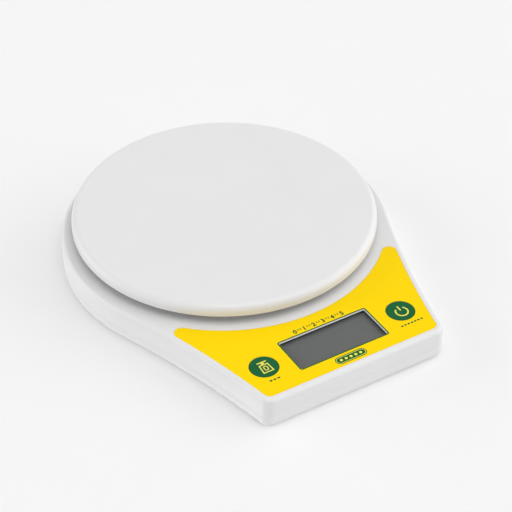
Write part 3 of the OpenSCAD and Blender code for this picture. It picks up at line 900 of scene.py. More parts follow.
@dataclass(frozen=True)
class Film(Finish):
    """Printed polyester film: a very fine sand texture under an even ink, whose edges wear paler."""

    coat: Pair = (0.04, 0.3)
    wear: float = 0.15
    worn_wide: float = 0.12
    pale: float = 0.2

    def shader(self, wiring: Wiring) -> Socket:
        """The film, with a thin clear coat and edges worn towards white.

        Args:
            wiring: Where it goes.

        Returns:
            Its output.
        """
        colour, roughness, height = self.base(wiring)
        edges = wiring.effect(wiring.effects.edges, self.worn_wide)["Mask"]
        pale = tuple(c * (1 - self.pale) + self.pale for c in self.colour)
        colour = wiring.mix(wiring.math("MULTIPLY", edges, self.wear), colour, pale)
        return self.principled(wiring, colour, roughness, height)


@dataclass(frozen=True)
class Glass(Finish):
    """Clear acrylic window: what lies behind shows, under a faint reflection."""

    marks: float = 0.8
    rub: float = 0.25
    index: float = 1.45

    def shader(self, wiring: Wiring) -> Socket:
        """Transparent and glossy shaders mixed by Fresnel, with fine marks in the gloss.

        Args:
            wiring: Where it goes.

        Returns:
            Its output.
        """
        lines = wiring.effect(wiring.effects.scuffs, self.marks)["Mask"]
        roughness = wiring.math("ADD", wiring.math("MULTIPLY", lines, self.rub), self.roughness)
        clear = wiring.node("BsdfTransparent", {"Color": self.colour}).outputs[0]
        gloss = wiring.node("BsdfGlossy", {"Roughness": roughness}).outputs[0]
        fresnel = wiring.node("Fresnel", {"IOR": self.index}).outputs[0]
        behind = wiring.node("NewGeometry").outputs["Backfacing"]
        share = wiring.math("MULTIPLY", fresnel, wiring.math("SUBTRACT", 1.0, behind))
        return wiring.node("MixShader", {0: share, 1: clear, 2: gloss}).outputs[0]


@dataclass(frozen=True)
class Crystal(Finish):
    """Unlit liquid-crystal panel: a grey film with painted shade near the window's edge.

    Near and past the window's outline the film is darker: painted shade standing for the roof's shadow on it,
    which fades between two distances from that outline. The lattice is (scale, strength).
    """

    coat: Pair = (0.1, 0.2)
    middle: Pair = (0.0, 0.0)
    half: Pair = (1000.0, 1000.0)
    # The next three fields set the painted shade of the roof's shadow on the film: where it fades out, how
    # strong it is and how dark its colour is.
    border: Pair = (-0.8, 2.8)
    border_dark: float = 0.5
    border_shade: float = 0.25
    lattice: Pair = (0.9, 0.06)
    lattice_shade: float = 1.3

    def shader(self, wiring: Wiring) -> Socket:
        """The film, with painted shade towards the window's outline and a faint lattice of electrodes.

        Args:
            wiring: Where it goes.

        Returns:
            Its output.
        """
        colour, roughness, height = self.base(wiring)
        place = wiring.place()
        # Painted shade: darker towards and past the window's edge, standing for the roof's shadow on the
        # film.
        axes, near = wiring.node("SeparateXYZ", {0: place}).outputs, []
        for axis, middle, half in zip("XY", self.middle, self.half):
            off = wiring.math("ABSOLUTE", wiring.math("SUBTRACT", axes[axis], middle))
            near.append(wiring.math("SUBTRACT", half, off))
        dark = wiring.remap(wiring.math("MINIMUM", *near), *self.border, self.border_dark, 0.0)
        colour = wiring.mix(dark, colour, self.shade(self.border_shade))
        scale, strength = self.lattice
        inputs = {"Vector": place, "Scale": scale, "Distortion": 0.0}
        wave = wiring.node("TexWave", inputs, bands_direction="DIAGONAL").outputs["Fac"]
        lattice = wiring.remap(wave, 0.0, 1.0, 0.0, strength)
        colour = wiring.mix(lattice, colour, self.shade(self.lattice_shade))
        return self.principled(wiring, colour, roughness, height)


@dataclass(frozen=True)
class Laminate(Finish):
    """Circuit board: solder mask over copper tracks, with tinned pads.

    The tracks run between bricks of (width, depth) with gaps as wide as a track.
    """

    track: Triple = (0.03, 0.2, 0.09)
    track_wide: float = 0.14
    track_high: float = 3.0
    bricks: Pair = (6.5, 1.6)
    stagger: float = 0.37
    narrowed: float = 0.8
    narrowed_rows: int = 3
    pad: Triple = (0.72, 0.7, 0.62)
    pad_scale: float = 0.26
    pad_random: float = 0.55
    pad_edge: Pair = (0.16, 0.14)
    pad_gloss: float = 0.12

    def shader(self, wiring: Wiring) -> Socket:
        """The mask, its tracks from a brick lattice and its pads from rounded cells.

        Args:
            wiring: Where it goes.

        Returns:
            Its output.
        """
        colour, roughness, height = self.base(wiring)
        place = wiring.place()
        inputs = {"Vector": place, "Scale": 1.0, "Mortar Size": self.track_wide}
        inputs |= dict(zip(("Brick Width", "Row Height"), self.bricks))
        rows = {"offset": self.stagger, "squash": self.narrowed, "squash_frequency": self.narrowed_rows}
        brick = wiring.node("TexBrick", inputs, **rows)
        tracks = wiring.spread(brick.outputs["Fac"])
        colour = wiring.mix(tracks, self.track, colour)
        inputs = {"Vector": place, "Scale": self.pad_scale, "Randomness": self.pad_random}
        cells = wiring.node("TexVoronoi", inputs)
        pads = wiring.remap(cells.outputs["Distance"], *self.pad_edge)
        colour = wiring.mix(pads, colour, self.pad)
        roughness = wiring.math("SUBTRACT", roughness, wiring.math("MULTIPLY", pads, self.pad_gloss))
        height = wiring.math("ADD", height, wiring.math("MULTIPLY", tracks, self.track_high))
        return self.principled(wiring, colour, roughness, height)


@dataclass(frozen=True)
class Striped(Finish):
    """Two materials in even stripes across X, such as a connector of layered rubber."""

    second: Triple = (0.03, 0.03, 0.03)
    pitch: float = 0.6
    blur: float = 0.2

    def shader(self, wiring: Wiring) -> Socket:
        """The stripes, from the sine of the place along X.

        Args:
            wiring: Where it goes.

        Returns:
            Its output.
        """
        colour, roughness, height = self.base(wiring)
        sine = wiring.math("SINE", wiring.math("MULTIPLY", wiring.along_x(), 2 * np.pi / self.pitch))
        colour = wiring.mix(wiring.remap(sine, -self.blur, self.blur), colour, self.second)
        return self.principled(wiring, colour, roughness, height)


@dataclass(frozen=True)
class Wrapped(Finish):
    """A battery's shrink sleeve: one colour with a band at its positive end and a line before it."""

    coat: Pair = (0.5, 0.2)
    band: Triple = (0.5, 0.52, 0.54)
    middle: float = 0.0
    turned: float = 1.0
    edges: Triple = (10.4, 10.9, 11.9)
    blur: float = 0.1

    def shader(self, wiring: Wiring) -> Socket:
        """The sleeve: line and band start and end at the edges' distances towards the button.

        Args:
            wiring: Where it goes.

        Returns:
            Its output.
        """
        colour, roughness, height = self.base(wiring)
        along = wiring.math("MULTIPLY", wiring.math("SUBTRACT", wiring.along_x(), self.middle), self.turned)
        start, end, band = self.edges
        first, last = (wiring.remap(along, edge, edge + self.blur) for edge in (start, end))
        light = wiring.math("SUBTRACT", first, last)
        light = wiring.math("MAXIMUM", wiring.remap(along, band, band + 2 * self.blur), light)
        return self.principled(wiring, wiring.mix(light, colour, self.band), roughness, height)


@dataclass(frozen=True)
class Table(Finish):
    """The plain pale floor, which is clear from behind so that an underside can be seen."""

    def shader(self, wiring: Wiring) -> Socket:
        """A matt surface, clear from behind.

        Args:
            wiring: Where it goes.

        Returns:
            Its output.
        """
        top = self.principled(wiring, *self.base(wiring))
        behind = wiring.node("NewGeometry").outputs["Backfacing"]
        clear = wiring.node("BsdfTransparent").outputs[0]
        return wiring.node("MixShader", {0: behind, 1: top, 2: clear}).outputs[0]


FINISHES: dict[Slot, Finish] = {
    Slot.WHITE: Scuffed((0.79, 0.79, 0.79), 0.36, grain=4.0, depth=0.003, tone=0.008, marks=0.35),
    Slot.CARRIER: Finish((0.46, 0.47, 0.46), 0.5, grain=2.0, depth=0.01, tone=0.03),
    Slot.STEEL: Metal((0.60, 0.60, 0.58), 0.32, depth=0.004, tone=0.12, gloss=0.08),
    Slot.RUBBER: Finish((0.022, 0.022, 0.024), 0.72, 5.0, depth=0.012, tone=0.15, gloss=0.08, shine=0.3),
    Slot.ALUMINIUM: Metal((0.72, 0.73, 0.74), 0.34, depth=0.006, tone=0.08, gloss=0.08, streaks=9.0),
    Slot.POTTING: Finish((0.70, 0.70, 0.67), 0.5, grain=0.9, depth=0.08, tone=0.04, gloss=0.1),
    Slot.SHEATH: Finish((0.15, 0.155, 0.16), 0.5, grain=2.0, depth=0.01, tone=0.06),
    Slot.LAMINATE: Laminate((0.012, 0.1, 0.035), 0.3, grain=2.0, depth=0.01, tone=0.06),
    Slot.RESIN: Finish((0.012, 0.012, 0.013), 0.28, grain=0.8, depth=0.03, tone=0.1, gloss=0.08),
    Slot.COMPONENT: Finish((0.30, 0.2, 0.1), 0.42, grain=1.5, depth=0.01, tone=0.2, gloss=0.1),
    Slot.DISPLAY: Crystal((0.15, 0.157, 0.152), 0.35, grain=0.6, depth=0.0005, tone=0.02, shine=0.2),
    Slot.STRIP: Striped((0.55, 0.2, 0.17), 0.6, depth=0.01, tone=0.05),
    Slot.LENS: Glass((0.97, 0.97, 0.97), 0.06),
    Slot.LABEL: Film((1.0, 0.69, 0.0), 0.5, grain=7.0, depth=0.0015, tone=0.004, gloss=0.03, shine=0.08),
    Slot.KEY: Film((0.012, 0.125, 0.04), 0.5, grain=7.0, depth=0.0015, tone=0.03, gloss=0.03, shine=0.08),
    Slot.STEM: Finish((0.3, 0.31, 0.32), 0.45, grain=3.0, depth=0.004, tone=0.05),
    Slot.BATTERY: Wrapped((0.055, 0.065, 0.08), 0.32, grain=2.0, depth=0.004, tone=0.05),
    Slot.NICKEL: Metal((0.68, 0.66, 0.62), 0.28, depth=0.003, tone=0.1, gloss=0.06),
    Slot.RED: Finish((0.45, 0.02, 0.015), 0.45, grain=2.0, depth=0.006, tone=0.06),
    Slot.BLACK: Finish((0.018, 0.018, 0.019), 0.45, grain=2.0, depth=0.006, tone=0.1),
}
DARK_INK = Film((0.012, 0.125, 0.03), 0.5, grain=7.0, depth=0.001, shine=0.08)
PALE_INK = Film((0.86, 0.80, 0.13), 0.5, grain=7.0, depth=0.001, shine=0.08)
# Dark grey for the window's band of painted shade, on the wall under the lens.
SHADE_BAND_GREY = Finish((0.12, 0.12, 0.12), 0.6, depth=0.002, shine=0.3)
SLEEVE = Wrapped((0.055, 0.065, 0.08), 0.32, grain=2.0)


class Palette:
    """The materials by slot, each made when it is first asked for."""

    def __init__(self) -> None:
        """Makes the shared effects."""
        self.effects = Effects()
        self.made: dict[str, bpy.types.Material] = {}

    def of(self, slot: Slot) -> bpy.types.Material:
        """A slot's own material."""
        return self.special(slot.value, FINISHES[slot])

    def special(self, name: str, finish: Finish) -> bpy.types.Material:
        """A material of its own name.

        Args:
            name: The name.
            finish: How it looks.

        Returns:
            The material, which is made only once.
        """
        if name not in self.made:
            self.made[name] = finish.material(name, self.effects)
        return self.made[name]


# ---- Sub-assemblies ----


class Shop:
    """Turns meshes into pieces that ride on the model's bodies, and keeps a list of them."""

    def __init__(self, palette: Palette) -> None:
        """Keeps the palette and finds the body of each CAD node.

        Args:
            palette: The materials.
        """
        self.palette = palette
        bodies = frame["record"]["behaviour"]["bodies"]
        self.body_of = {node: body for body, nodes in bodies.items() for node in nodes}
        self.made: list[bpy.types.Object] = []

    def piece(
        self,
        name: str,
        shape: Union[Solid, Mesh],
        slot: Slot,
        on: str,
        *paints: bpy.types.Material,
        stands_in: bool = True,
    ) -> None:
        """Makes a piece.

        Args:
            name: The piece's name.
            shape: Its shape.
            slot: The slot of its main finish.
            on: The CAD node whose body it rides on.
            paints: Its materials, if they aren't just the slot's own.
            stands_in: Whether it replaces that node.
        """
        mesh = shape.mesh() if isinstance(shape, Solid) else shape
        mesh.name = name
        mesh.materials.clear()
        for paint in paints or [self.palette.of(slot)]:
            mesh.materials.append(paint)
        mesh.shade_smooth()
        mesh.set_sharp_from_angle(angle=np.radians(CREASE))
        made = placed(name, mesh)
        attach(made, self.body_of[on])
        if stands_in:
            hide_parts(on)
        self.made.append(made)

    def dress_frame(self) -> list[str]:
        """Gives each CAD node that still shows the palette's material of its slot.

        Returns:
            The nodes' names.
        """
        shown = {name: node for name, node in frame["nodes"].items() if not node.hide_render}
        for node in shown.values():
            for holder in node.material_slots:
                slot = Slot(holder.material.name.split(".")[0])
                holder.link = "OBJECT"
                holder.material = self.palette.of(slot)
        return list(shown)


@dataclass(frozen=True)
class Levels:
    """Heights above the table, from the CAD nodes' boxes and the walls between them."""

    base: float
    floor: float
    split: float
    roof: float
    top: float

    @classmethod
    def read(cls, floor: float = 2.0, rise: float = 5.0, roof: float = 2.2) -> "Levels":
        """Reads the shells' boxes; the heights between them follow from the walls."""
        base, top = box_mm("lower_shell")[0, 2], box_mm("upper_shell")[1, 2]
        return cls(base, base + floor, base + rise, top - roof, top)


@dataclass(frozen=True)
class Housing:
    """The two shells and the feet.

    Screw heads and the seats of the stop and the feet are (diameter, height), and the load cell's
    seat is (width, depth, height). Cell holes are the distances of one end's bolts from the middle.
    The screws are set in from the front and from the round rear's edge. A rib is (width, height),
    and its ends are shares of the rear's radius. A foot's tread is rows of (radius, height).
    """

    plan: Plan
    at: Levels
    wall: float = 2.2
    edge: float = 2.0
    under_edge: float = 0.9
    roof_edge: float = 0.8
    floor_edge: float = 0.6
    seam: float = 0.14
    lip: float = 1.2
    lip_wall: float = 1.05
    lip_draft: float = 0.15
    fit: float = 0.1
    boss: float = 6.4
    post: float = 4.6
    post_root: float = 0.6
    post_hole: float = 2.1
    screw: float = 2.5
    screw_inset: Pair = (8.5, 9.5)
    screw_angles: tuple[float, ...] = (42, 138, -27, 207)
    screw_deep: float = 7.5
    screw_head: Pair = (4.6, 1.6)
    bolt: float = 4.0
    bolt_head: Pair = (7.0, 2.0)
    sink: float = 0.3
    slack: float = 0.3
    seat: Triple = (22.0, 14.0, 2.0)
    seat_corner: float = 2.0
    seat_gap: float = 3.0
    cell_holes: Pair = (28.5, 17.5)
    stop_seat: Pair = (6.0, 0.6)
    stop_hole: float = 3.1
    foot_seat: Pair = (10.2, 1.2)
    foot_edge: float = 0.6
    tread: tuple[Pair, ...] = ((0, 0.25), (1.6, 0.25), (2.0, 0.1), (2.2, 0), (3.1, 0), (3.3, 0.15), (3.5, 0))
    rib: Pair = (1.2, 2.4)
    rib_ends: Pair = (0.42, 0.98)
    rib_angles: Sequence[float] = range(15, 180, 30)
    label_deep: float = 0.25

    @property
    def seat_x(self) -> float:
        """Distance of the load cell's two ends from the middle."""
        return sum(self.cell_holes) / 2

    def screws(self) -> Array:
        """Places of the six housing screws: four round the rear and two at the front corners.

        Returns:
            One row for each screw.
        """
        y = self.plan.front + self.screw_inset[0]
        x = self.plan.flank_x(y) - self.boss / 2 - 1
        rear = polar(self.plan.rear_centre, self.plan.rear - self.screw_inset[1], self.screw_angles)
        return np.concatenate([rear, [(x, y), (-x, y)]])

    def stepped(self, spots: Array, shank: float, head: Pair) -> Solid:
        """Cutters for screws from below: a wide hole for the head and a narrow one above it.

        Args:
            spots: Middles in plan.
            shank: The shank's diameter.
            head: The head's diameter and height.

        Returns:
            The cutters.
        """
        made, wide, step = Solid(), head[0] + 2 * self.slack, self.at.base + self.sink + head[1]
        lip = (wide - shank - self.fit) / 2
        sides = np.array([(0, self.at.base - CUT), (0, step), (lip, step), (lip, self.at.top - 4)])
        for x, y in spots:
            made.sweep(circle(x, y, wide), sides)
        return made

    def upper(self, panel: "Panel") -> Mesh:
        """The upper shell: an upturned tray with a round edge, its posts and its openings.

        Args:
            panel: The control panel, which gives the openings.

        Returns:
            The mesh.
        """
        at, body, spots = self.at, self.plan.housing(), panel.board_spots()
        low, rise, high, head = at.split - CUT, at.roof - CUT, at.top + CUT, at.roof + self.post_root
        groove = (self.wall - self.lip_wall - self.fit, self.wall + self.fit)
        width, depth = (size + 2 * self.seat_gap for size in self.seat[:2])
        way = round_rect(self.seat_x, self.plan.pan_y, width, depth, self.seat_corner + self.seat_gap)
        pocket = panel.window(panel.lens_edge + self.fit)
        block = Solid().slab(body, at.split, at.top, top=self.edge, bottom=self.seam, steps=10, rim=FLAT)
        steps = [
            (Cut.TAKE, Solid().slab(body.moved(self.wall), low, at.roof, top=self.roof_edge)),
            (Cut.JOIN, Solid().discs(self.screws(), self.boss, at.split, head)),
            (Cut.JOIN, Solid().discs(spots, self.post, panel.board_top, head)),
            (Cut.TAKE, Solid().band(body, groove, groove, low, at.split + self.lip + self.fit)),
            (Cut.TAKE, Solid().discs(self.screws(), self.screw + self.fit, low, at.split + self.screw_deep)),
            (Cut.TAKE, Solid().discs(spots, self.post_hole, panel.board_top - CUT, at.roof - self.roof_edge)),
            (Cut.TAKE, Solid().slab(panel.label_outline(self.fit), at.top - self.label_deep, high)),
            (Cut.TAKE, panel.openings(rise, high).slab(way, rise, high)),
            (Cut.TAKE, Solid().slab(pocket, rise, at.top - panel.lens_deep)),
        ]
        return carved(block, steps)

    def lower(self, bay: "BatteryBay") -> Mesh:
        """The lower shell: a shallow tray with a lip, bosses, ribs, the battery bay and the screw holes.

        Args:
            bay: The battery bay, which gives the walls and cutters of its own.

        Returns:
            The mesh.
        """
        at, plan, body = self.at, self.plan, self.plan.housing()
        low, root, outer = at.base - CUT, at.floor - ROOT, self.wall - self.lip_wall
        width, depth, height = self.seat
        seat = round_rect(-self.seat_x, plan.pan_y, width, depth, self.seat_corner)
        stop = [(self.cell_holes[0], plan.pan_y)]
        fittings = Solid().discs(self.screws(), self.boss, root, at.split)
        fittings.slab(seat, root, at.floor + height, top=0.3)
        fittings.discs(stop, self.stop_seat[0], root, at.floor + self.stop_seat[1])
        ribs, (start, end) = Solid(), self.rib_ends
        for a in self.rib_angles:
            way = [polar(plan.rear_centre, r, a) for r in (plan.rear * start, plan.rear * end - self.wall)]
            ribs.stroke(np.concatenate(way), self.rib[0], root, at.floor + self.rib[1])
        bolts = [(-x, plan.pan_y) for x in self.cell_holes]
        feet = [box_mm(foot).mean(axis=0)[:2] for foot in FEET]
        drafted = (outer + self.lip_draft, self.wall)
        lip = Solid().band(body, (outer, self.wall), drafted, at.split - ROOT, at.split + self.lip)
        block = Solid().slab(body, at.base, at.split, top=self.seam, bottom=self.under_edge, rim=FLAT)
        steps = [
            (Cut.TAKE, Solid().slab(body.moved(self.wall), at.floor, at.split + CUT, bottom=self.floor_edge)),
            (Cut.JOIN, lip),
            (Cut.JOIN, fittings),
            (Cut.JOIN, bay.walls()),
            (Cut.JOIN, ribs),
            (Cut.TAKE, self.stepped(self.screws(), self.screw, self.screw_head)),
            (Cut.TAKE, self.stepped(bolts, self.bolt, self.bolt_head)),
            (Cut.TAKE, Solid().discs(stop, self.stop_hole, low, at.split)),
            (Cut.TAKE, Solid().discs(feet, self.foot_seat[0], low, at.base + self.foot_seat[1])),
            (Cut.TAKE, bay.hollow()),
            (Cut.TAKE, bay.slots()),
        ]
        return carved(block, steps)

    def foot(self, node: str) -> Solid:
        """A rubber foot: a round pad with a soft edge and a shallow hollow ring in its tread.

        Args:
            node: The CAD node that it stands for.

        Returns:
            The foot.
        """
        low, high = box_mm(node)
        x, y = (low + high)[:2] / 2
        radius, top, edge = (high - low)[0] / 2, high[2], self.foot_edge
        side = [(radius, top - 0.1), (radius - 0.1, top), (0, top)]
        soft = bend((radius - edge, edge), edge, -90, 0, 6)
        return Solid().revolve(np.concatenate([self.tread, soft, side]), (x, y, 0))

    def build(self, shop: Shop, panel: "Panel", bay: "BatteryBay") -> None:
        """Makes both shells and the four feet.

        Args:
            shop: Where the pieces are made.
            panel: The control panel, which gives the upper shell's openings.
            bay: The battery bay, which gives the lower shell's.
        """
        shop.piece("housing_top", self.upper(panel), Slot.WHITE, "upper_shell")
        shop.piece("housing_bottom", self.lower(bay), Slot.WHITE, "lower_shell")
        for foot in FEET:
            shop.piece(foot.replace("foot", "pad"), self.foot(foot), Slot.RUBBER, foot)


@dataclass(frozen=True)
class Platform:
    """The round weighing platform, which snaps onto its carrier with four hooks.

    A hook is (inner radius, thickness) and its barb is (reach, height). The barb's side is upright
    for its lead's height, and slants back to the lead's reach. Rings are the distances inside the
    round edge of two rings in the flat face, which keep its shading even.
    """

    plan: Plan
    edge: float = 3.4
    skin: float = 2.0
    rim_edge: float = 0.35
    hook: Pair = (60.4, 1.6)
    barb: Pair = (1.4, 0.8)
    barb_lead: Pair = (0.6, 0.3)
    hook_wide: float = 8.0
    hook_gap: float = 0.15
    seat_deep: float = 2.5
    rings: Pair = (8.0, 0.5)
    step: float = 0.25
    root: float = 0.6
    hooks_at: tuple[float, ...] = (45, 135, 225, 315)

    def profile(self, rim: float, top: float) -> Array:
        """The platform's section from the middle of its face, round its rim and back under it.

        Args:
            rim: Height of the rim's lower edge.
            top: Height of the face.

        Returns:
            Rows of (radius, height).
        """
        a = np.radians(np.linspace(0, 90, 15))
        out, within, under = self.plan.pan, self.edge - self.skin, top - self.skin
        e, r = self.rim_edge, out - self.skin
        parts = [
            [(0, top), *((out - self.edge - ring, top) for ring in self.rings)],
            np.column_stack([out - self.edge * (1 - np.sin(a)), top - self.edge * (1 - np.cos(a))]),
            np.column_stack([out - e * (1 - np.cos(a[::3])), rim + e * (1 - np.sin(a[::3]))]),
            [(r + self.step, rim), (r, rim + self.step)],
            np.column_stack([r - within * (1 - np.cos(a[::2])), under - within * (1 - np.sin(a[::2]))]),
            [(r - within - self.rings[1], under), (0, under)],
        ]
        return np.concatenate(parts)

    def build(self, shop: Shop) -> None:
        """Makes the platform.

        Args:
            shop: Where the pieces are made.
        """
        low, high = box_mm("pan")
        root = high[2] - self.skin + self.root
        foot = box_mm("carrier")[1, 2] - self.seat_deep - self.hook_gap
        origin = (*self.plan.pan_centre, 0)
        plate = Solid().revolve(self.profile(low[2], high[2]), origin, 240)
        (r, thick), (reach, drop), (lead, upright) = self.hook, self.barb, self.barb_lead
        section = [(r, root), (r, foot), (r - reach, foot), (r - reach, foot - upright)]
        section += [(r - lead, foot - drop), (r + thick, foot - drop), (r + thick, root)]
        hooks = Solid()
        half = np.degrees(self.hook_wide / 2 / (r + thick / 2))
        for a in self.hooks_at:
            hooks.revolve(section, origin, 9, span=(a - half, a + half))
        shop.piece("platform", carved(plate, [(Cut.JOIN, hooks)]), Slot.WHITE, "pan")


Stroke = tuple[Sequence[Pair], float, bool]  # path about the sign's middle, width, whether it closes
PLATE_ON_BOX: list[Stroke] = [
    ([(-2.4, 3.1), (2.4, 3.1)], 0.7, False),
    ([(0, 2.8), (0, 1.5)], 1.5, False),
    ([(-2.5, -3.7), (2.5, -3.7), (2.1, 1.3), (-2.1, 1.3)], 0.6, True),
    (round_rect(0, -1.2, 1.7, 2.7, 0.8).loop(), 0.5, True),
]
BROKEN_RING: list[Stroke] = [
    (bend((0, 0), 2.95, 128, 412, 39), 0.72, False),
    ([(0, 0.9), (0, 4.1)], 0.72, False),
]
SIGNS = (("unit", (0.4, 0.0), PLATE_ON_BOX), ("tare", (0.3, -0.75), BROKEN_RING))


@dataclass(frozen=True)
class Panel:
    """The control panel: face label, its printing, the display's window and the two keys.

    The display's film is (inset, thickness, edge radius), and a key's flange is (width, thickness).
    Linings are the depths below the face of the foot and head of the dark band of painted shade on the
    window's wall and of the lip, and the lip is its thickness at both. Lines are their two insets. A tick
    is (width, lower end, upper end), and
    ticks are their distances after a figure. Marks are (side, reach, half their length). The badge
    is (x, y, width, depth), and its dots are (diameter, pitch, how far they are raised).
    """

    plan: Plan
    at: Levels
    middle: Pair = (0.0, -78.65)
    opening: Pair = (46.8, 20.0)
    opening_corner: float = 0.6
    lens_edge: float = 2.5
    lens_deep: float = 1.1
    film: Triple = (1.0, 0.15, 0.05)
    key: float = 13.5
    key_x: float = 37.1
    key_gap: float = 0.25
    key_edge: float = 0.22
    key_ring: float = 0.6
    key_stem: float = 2.2
    key_under: float = 0.15
    key_flange: Pair = (1.2, 0.8)
    margin: float = 3.0
    gap: float = 4.4
    corner: float = 3.2
    tip: float = 3.6
    label_thick: float = 0.25
    post_inset: float = 3.2
    post_rows: Pair = (0.0, 26.2)
    ink: float = 0.012
    ink_root: float = 0.02
    seal: float = 0.14
    lip: Pair = (0.22, 0.03)
    linings: tuple[Pair, Pair] = ((1.1, 0.55), (0.62, 0.01))
    line: Pair = (-0.68, -0.02)
    figures_y: float = -65.8
    figure: float = 2.7
    last: int = 5
    pitch: float = 5.1
    ticks: Pair = (1.9, 3.2)
    tick: Triple = (0.5, -0.1, 1.0)
    mark: float = 0.9
    mark_y: float = -88.1
    marks: Sequence[Triple] = ((-1, 2.0, 0.7), (1, 5.4, 0.6))
    mark_counts: tuple[int, int] = (3, 7)
    badge: tuple[float, float, float, float] = (0.3, -92.9, 16.4, 4.8)
    badge_line: Pair = (0.45, 0.75)
    dot: Triple = (1.5, 2.6, 0.006)

    @property
    def board_top(self) -> float:
        """Height of the circuit board's upper face."""
        return float(box_mm("circuit_board")[1, 2])

    @property
    def key_spots(self) -> list[Pair]:
        """Both keys' places in plan."""
        return [(x, self.middle[1]) for x in (-self.key_x, self.key_x)]

    @property
    def badge_outline(self) -> Outline:
        """The badge's outline, with round ends."""
        return round_rect(*self.badge, self.badge[3] / 2 - 0.01, 12)

    def board_spots(self) -> list[Pair]:
        """Places of the four posts that the circuit board hangs from."""
        (_, y, _), (x, _, _) = box_mm("circuit_board")
        return [(i * (x - self.post_inset), y + self.post_inset + j) for i in (-1, 1) for j in self.post_rows]

    def label_outline(self, grow: float) -> Outline:
        """The label's outline, moved out all round."""
        return self.plan.label(self.margin, self.gap, self.corner, self.tip).moved(-grow)

    def window(self, grow: float) -> Outline:
        """The display window's outline, moved out all round; where it grows, its corners are rounder."""
        width, depth = (size + 2 * grow for size in self.opening)
        return round_rect(*self.middle, width, depth, 1.0 if grow else self.opening_corner)

    def openings(self, z0: float, z1: float) -> Solid:
        """Cutters for the window and the keys, between two heights."""
        made = Solid().slab(self.window(0), z0, z1)
        return made.discs(self.key_spots, self.key + 2 * self.key_gap, z0, z1, 72)

    def label(self) -> Mesh:
        """The face label: a thin film with the window and the keys' holes cut out.

        Returns:
            The mesh.
        """
        top = self.at.top
        film = Solid().slab(self.label_outline(0), top - self.label_thick, top, top=0.05, steps=3, rim=0.3)
        return carved(film, [(Cut.TAKE, self.openings(top - 2, top + CUT))])

    def lining(self, depths: Pair, foot: float, head: float) -> Solid:
        """A ring on the window's wall between two depths, with its thickness at the foot and at the head."""
        z0, z1 = (self.at.top - depth for depth in depths)
        return Solid().band(self.window(0.01), (0, foot), (0, head), z0, z1)

    def inked(self, raised: float = 0.0) -> Pair:
        """Heights of an ink's underside and face on the panel, above earlier inks if it is raised."""
        return self.at.top - self.ink_root, self.at.top + self.ink + raised

    def printing(self) -> Solid:
        """The dark printing: a line round the window, a row of figures with ticks, marks and a badge.

        Returns:
            The printing.
        """
        z0, z1 = self.inked()
        made = Solid().band(self.window(0), self.line, self.line, z0, z1)
        for i in range(self.last + 1):
            x = self.pitch * (i - self.last / 2)
            made.figures(str(i), x, self.figures_y, self.figure, z0, z1)
            for tick in self.ticks if i < self.last else ():
                made.stroke([(x + tick, self.figures_y + y) for y in self.tick[1:]], self.tick[0], z0, z1)
        for (side, reach, half), count in zip(self.marks, self.mark_counts):
            for x in side * self.key_x + np.linspace(-reach, reach, count):
                made.stroke([(x - half, self.mark_y), (x + half, self.mark_y)], self.mark, z0, z1)
        return made.slab(self.badge_outline, z0, z1)

    def highlights(self) -> Solid:
        """The badge's light printing: a thin line inside its edge and five dots.

        Returns:
            The printing.
        """
        wide, pitch, raised = self.dot
        z0, z1 = self.inked(raised)
        dots = [(self.badge[0] + pitch * i, self.badge[1]) for i in range(-2, 3)]
        made = Solid().band(self.badge_outline, self.badge_line, self.badge_line, z0, z1)
        return made.discs(dots, wide, z0, z1, 24)

    def key_solid(self, node: str) -> Solid:
        """A key: a flat cap with a soft edge, the flange that holds it in, and its stem.

        Args:
            node: The CAD node that it stands for.

        Returns:
            The key.
        """
        (x, y, _), (foot, top) = box_mm(node).mean(axis=0), box_mm(node)[:, 2]
        r, stem, edge, (wide, thick) = self.key / 2, self.key_stem, self.key_edge, self.key_flange
        under = self.at.roof - self.key_under - thick
        over = under + thick
        sides = [(0, foot), (stem, foot), (stem, under), (r + wide, under), (r + wide, over), (r, over)]
        soft = bend((r - edge, top - edge), edge, 0, 90, 5)
        face = [(r - self.key_ring, top), (0, top)]
        return Solid().revolve(np.concatenate([sides, soft, face]), (x, y, 0), 96)

    def sign(self, spot: Pair, offset: Pair, strokes: Sequence[Stroke]) -> Solid:
        """A key's sign.

        Args:
            spot: The key's middle.
            offset: The sign's middle, from the key's.
            strokes: What it is drawn with.

        Returns:
            The sign.
        """
        made = Solid()
        for path, width, closed in strokes:
            made.stroke(np.array(path) + spot + offset, width, *self.inked(), closed)
        return made

    def build(self, shop: Shop) -> None:
        """Makes the label, its printing, the display's film, the window's linings (a dark band of painted
        shade and a pale lip) and both keys.

        Args:
            shop: Where the pieces are made.
        """
        palette, roof = shop.palette, self.at.roof
        inset, thick, edge = self.film
        width, depth = np.ptp(box_mm("display_glass"), axis=0)[:2] - inset
        film = Solid().slab(round_rect(*self.middle, width, depth, inset / 2), roof, roof + thick, top=edge)
        # The film's painted shade follows the window's outline.
        crystal = replace(FINISHES[Slot.DISPLAY], middle=self.middle, half=tuple(d / 2 for d in self.opening))
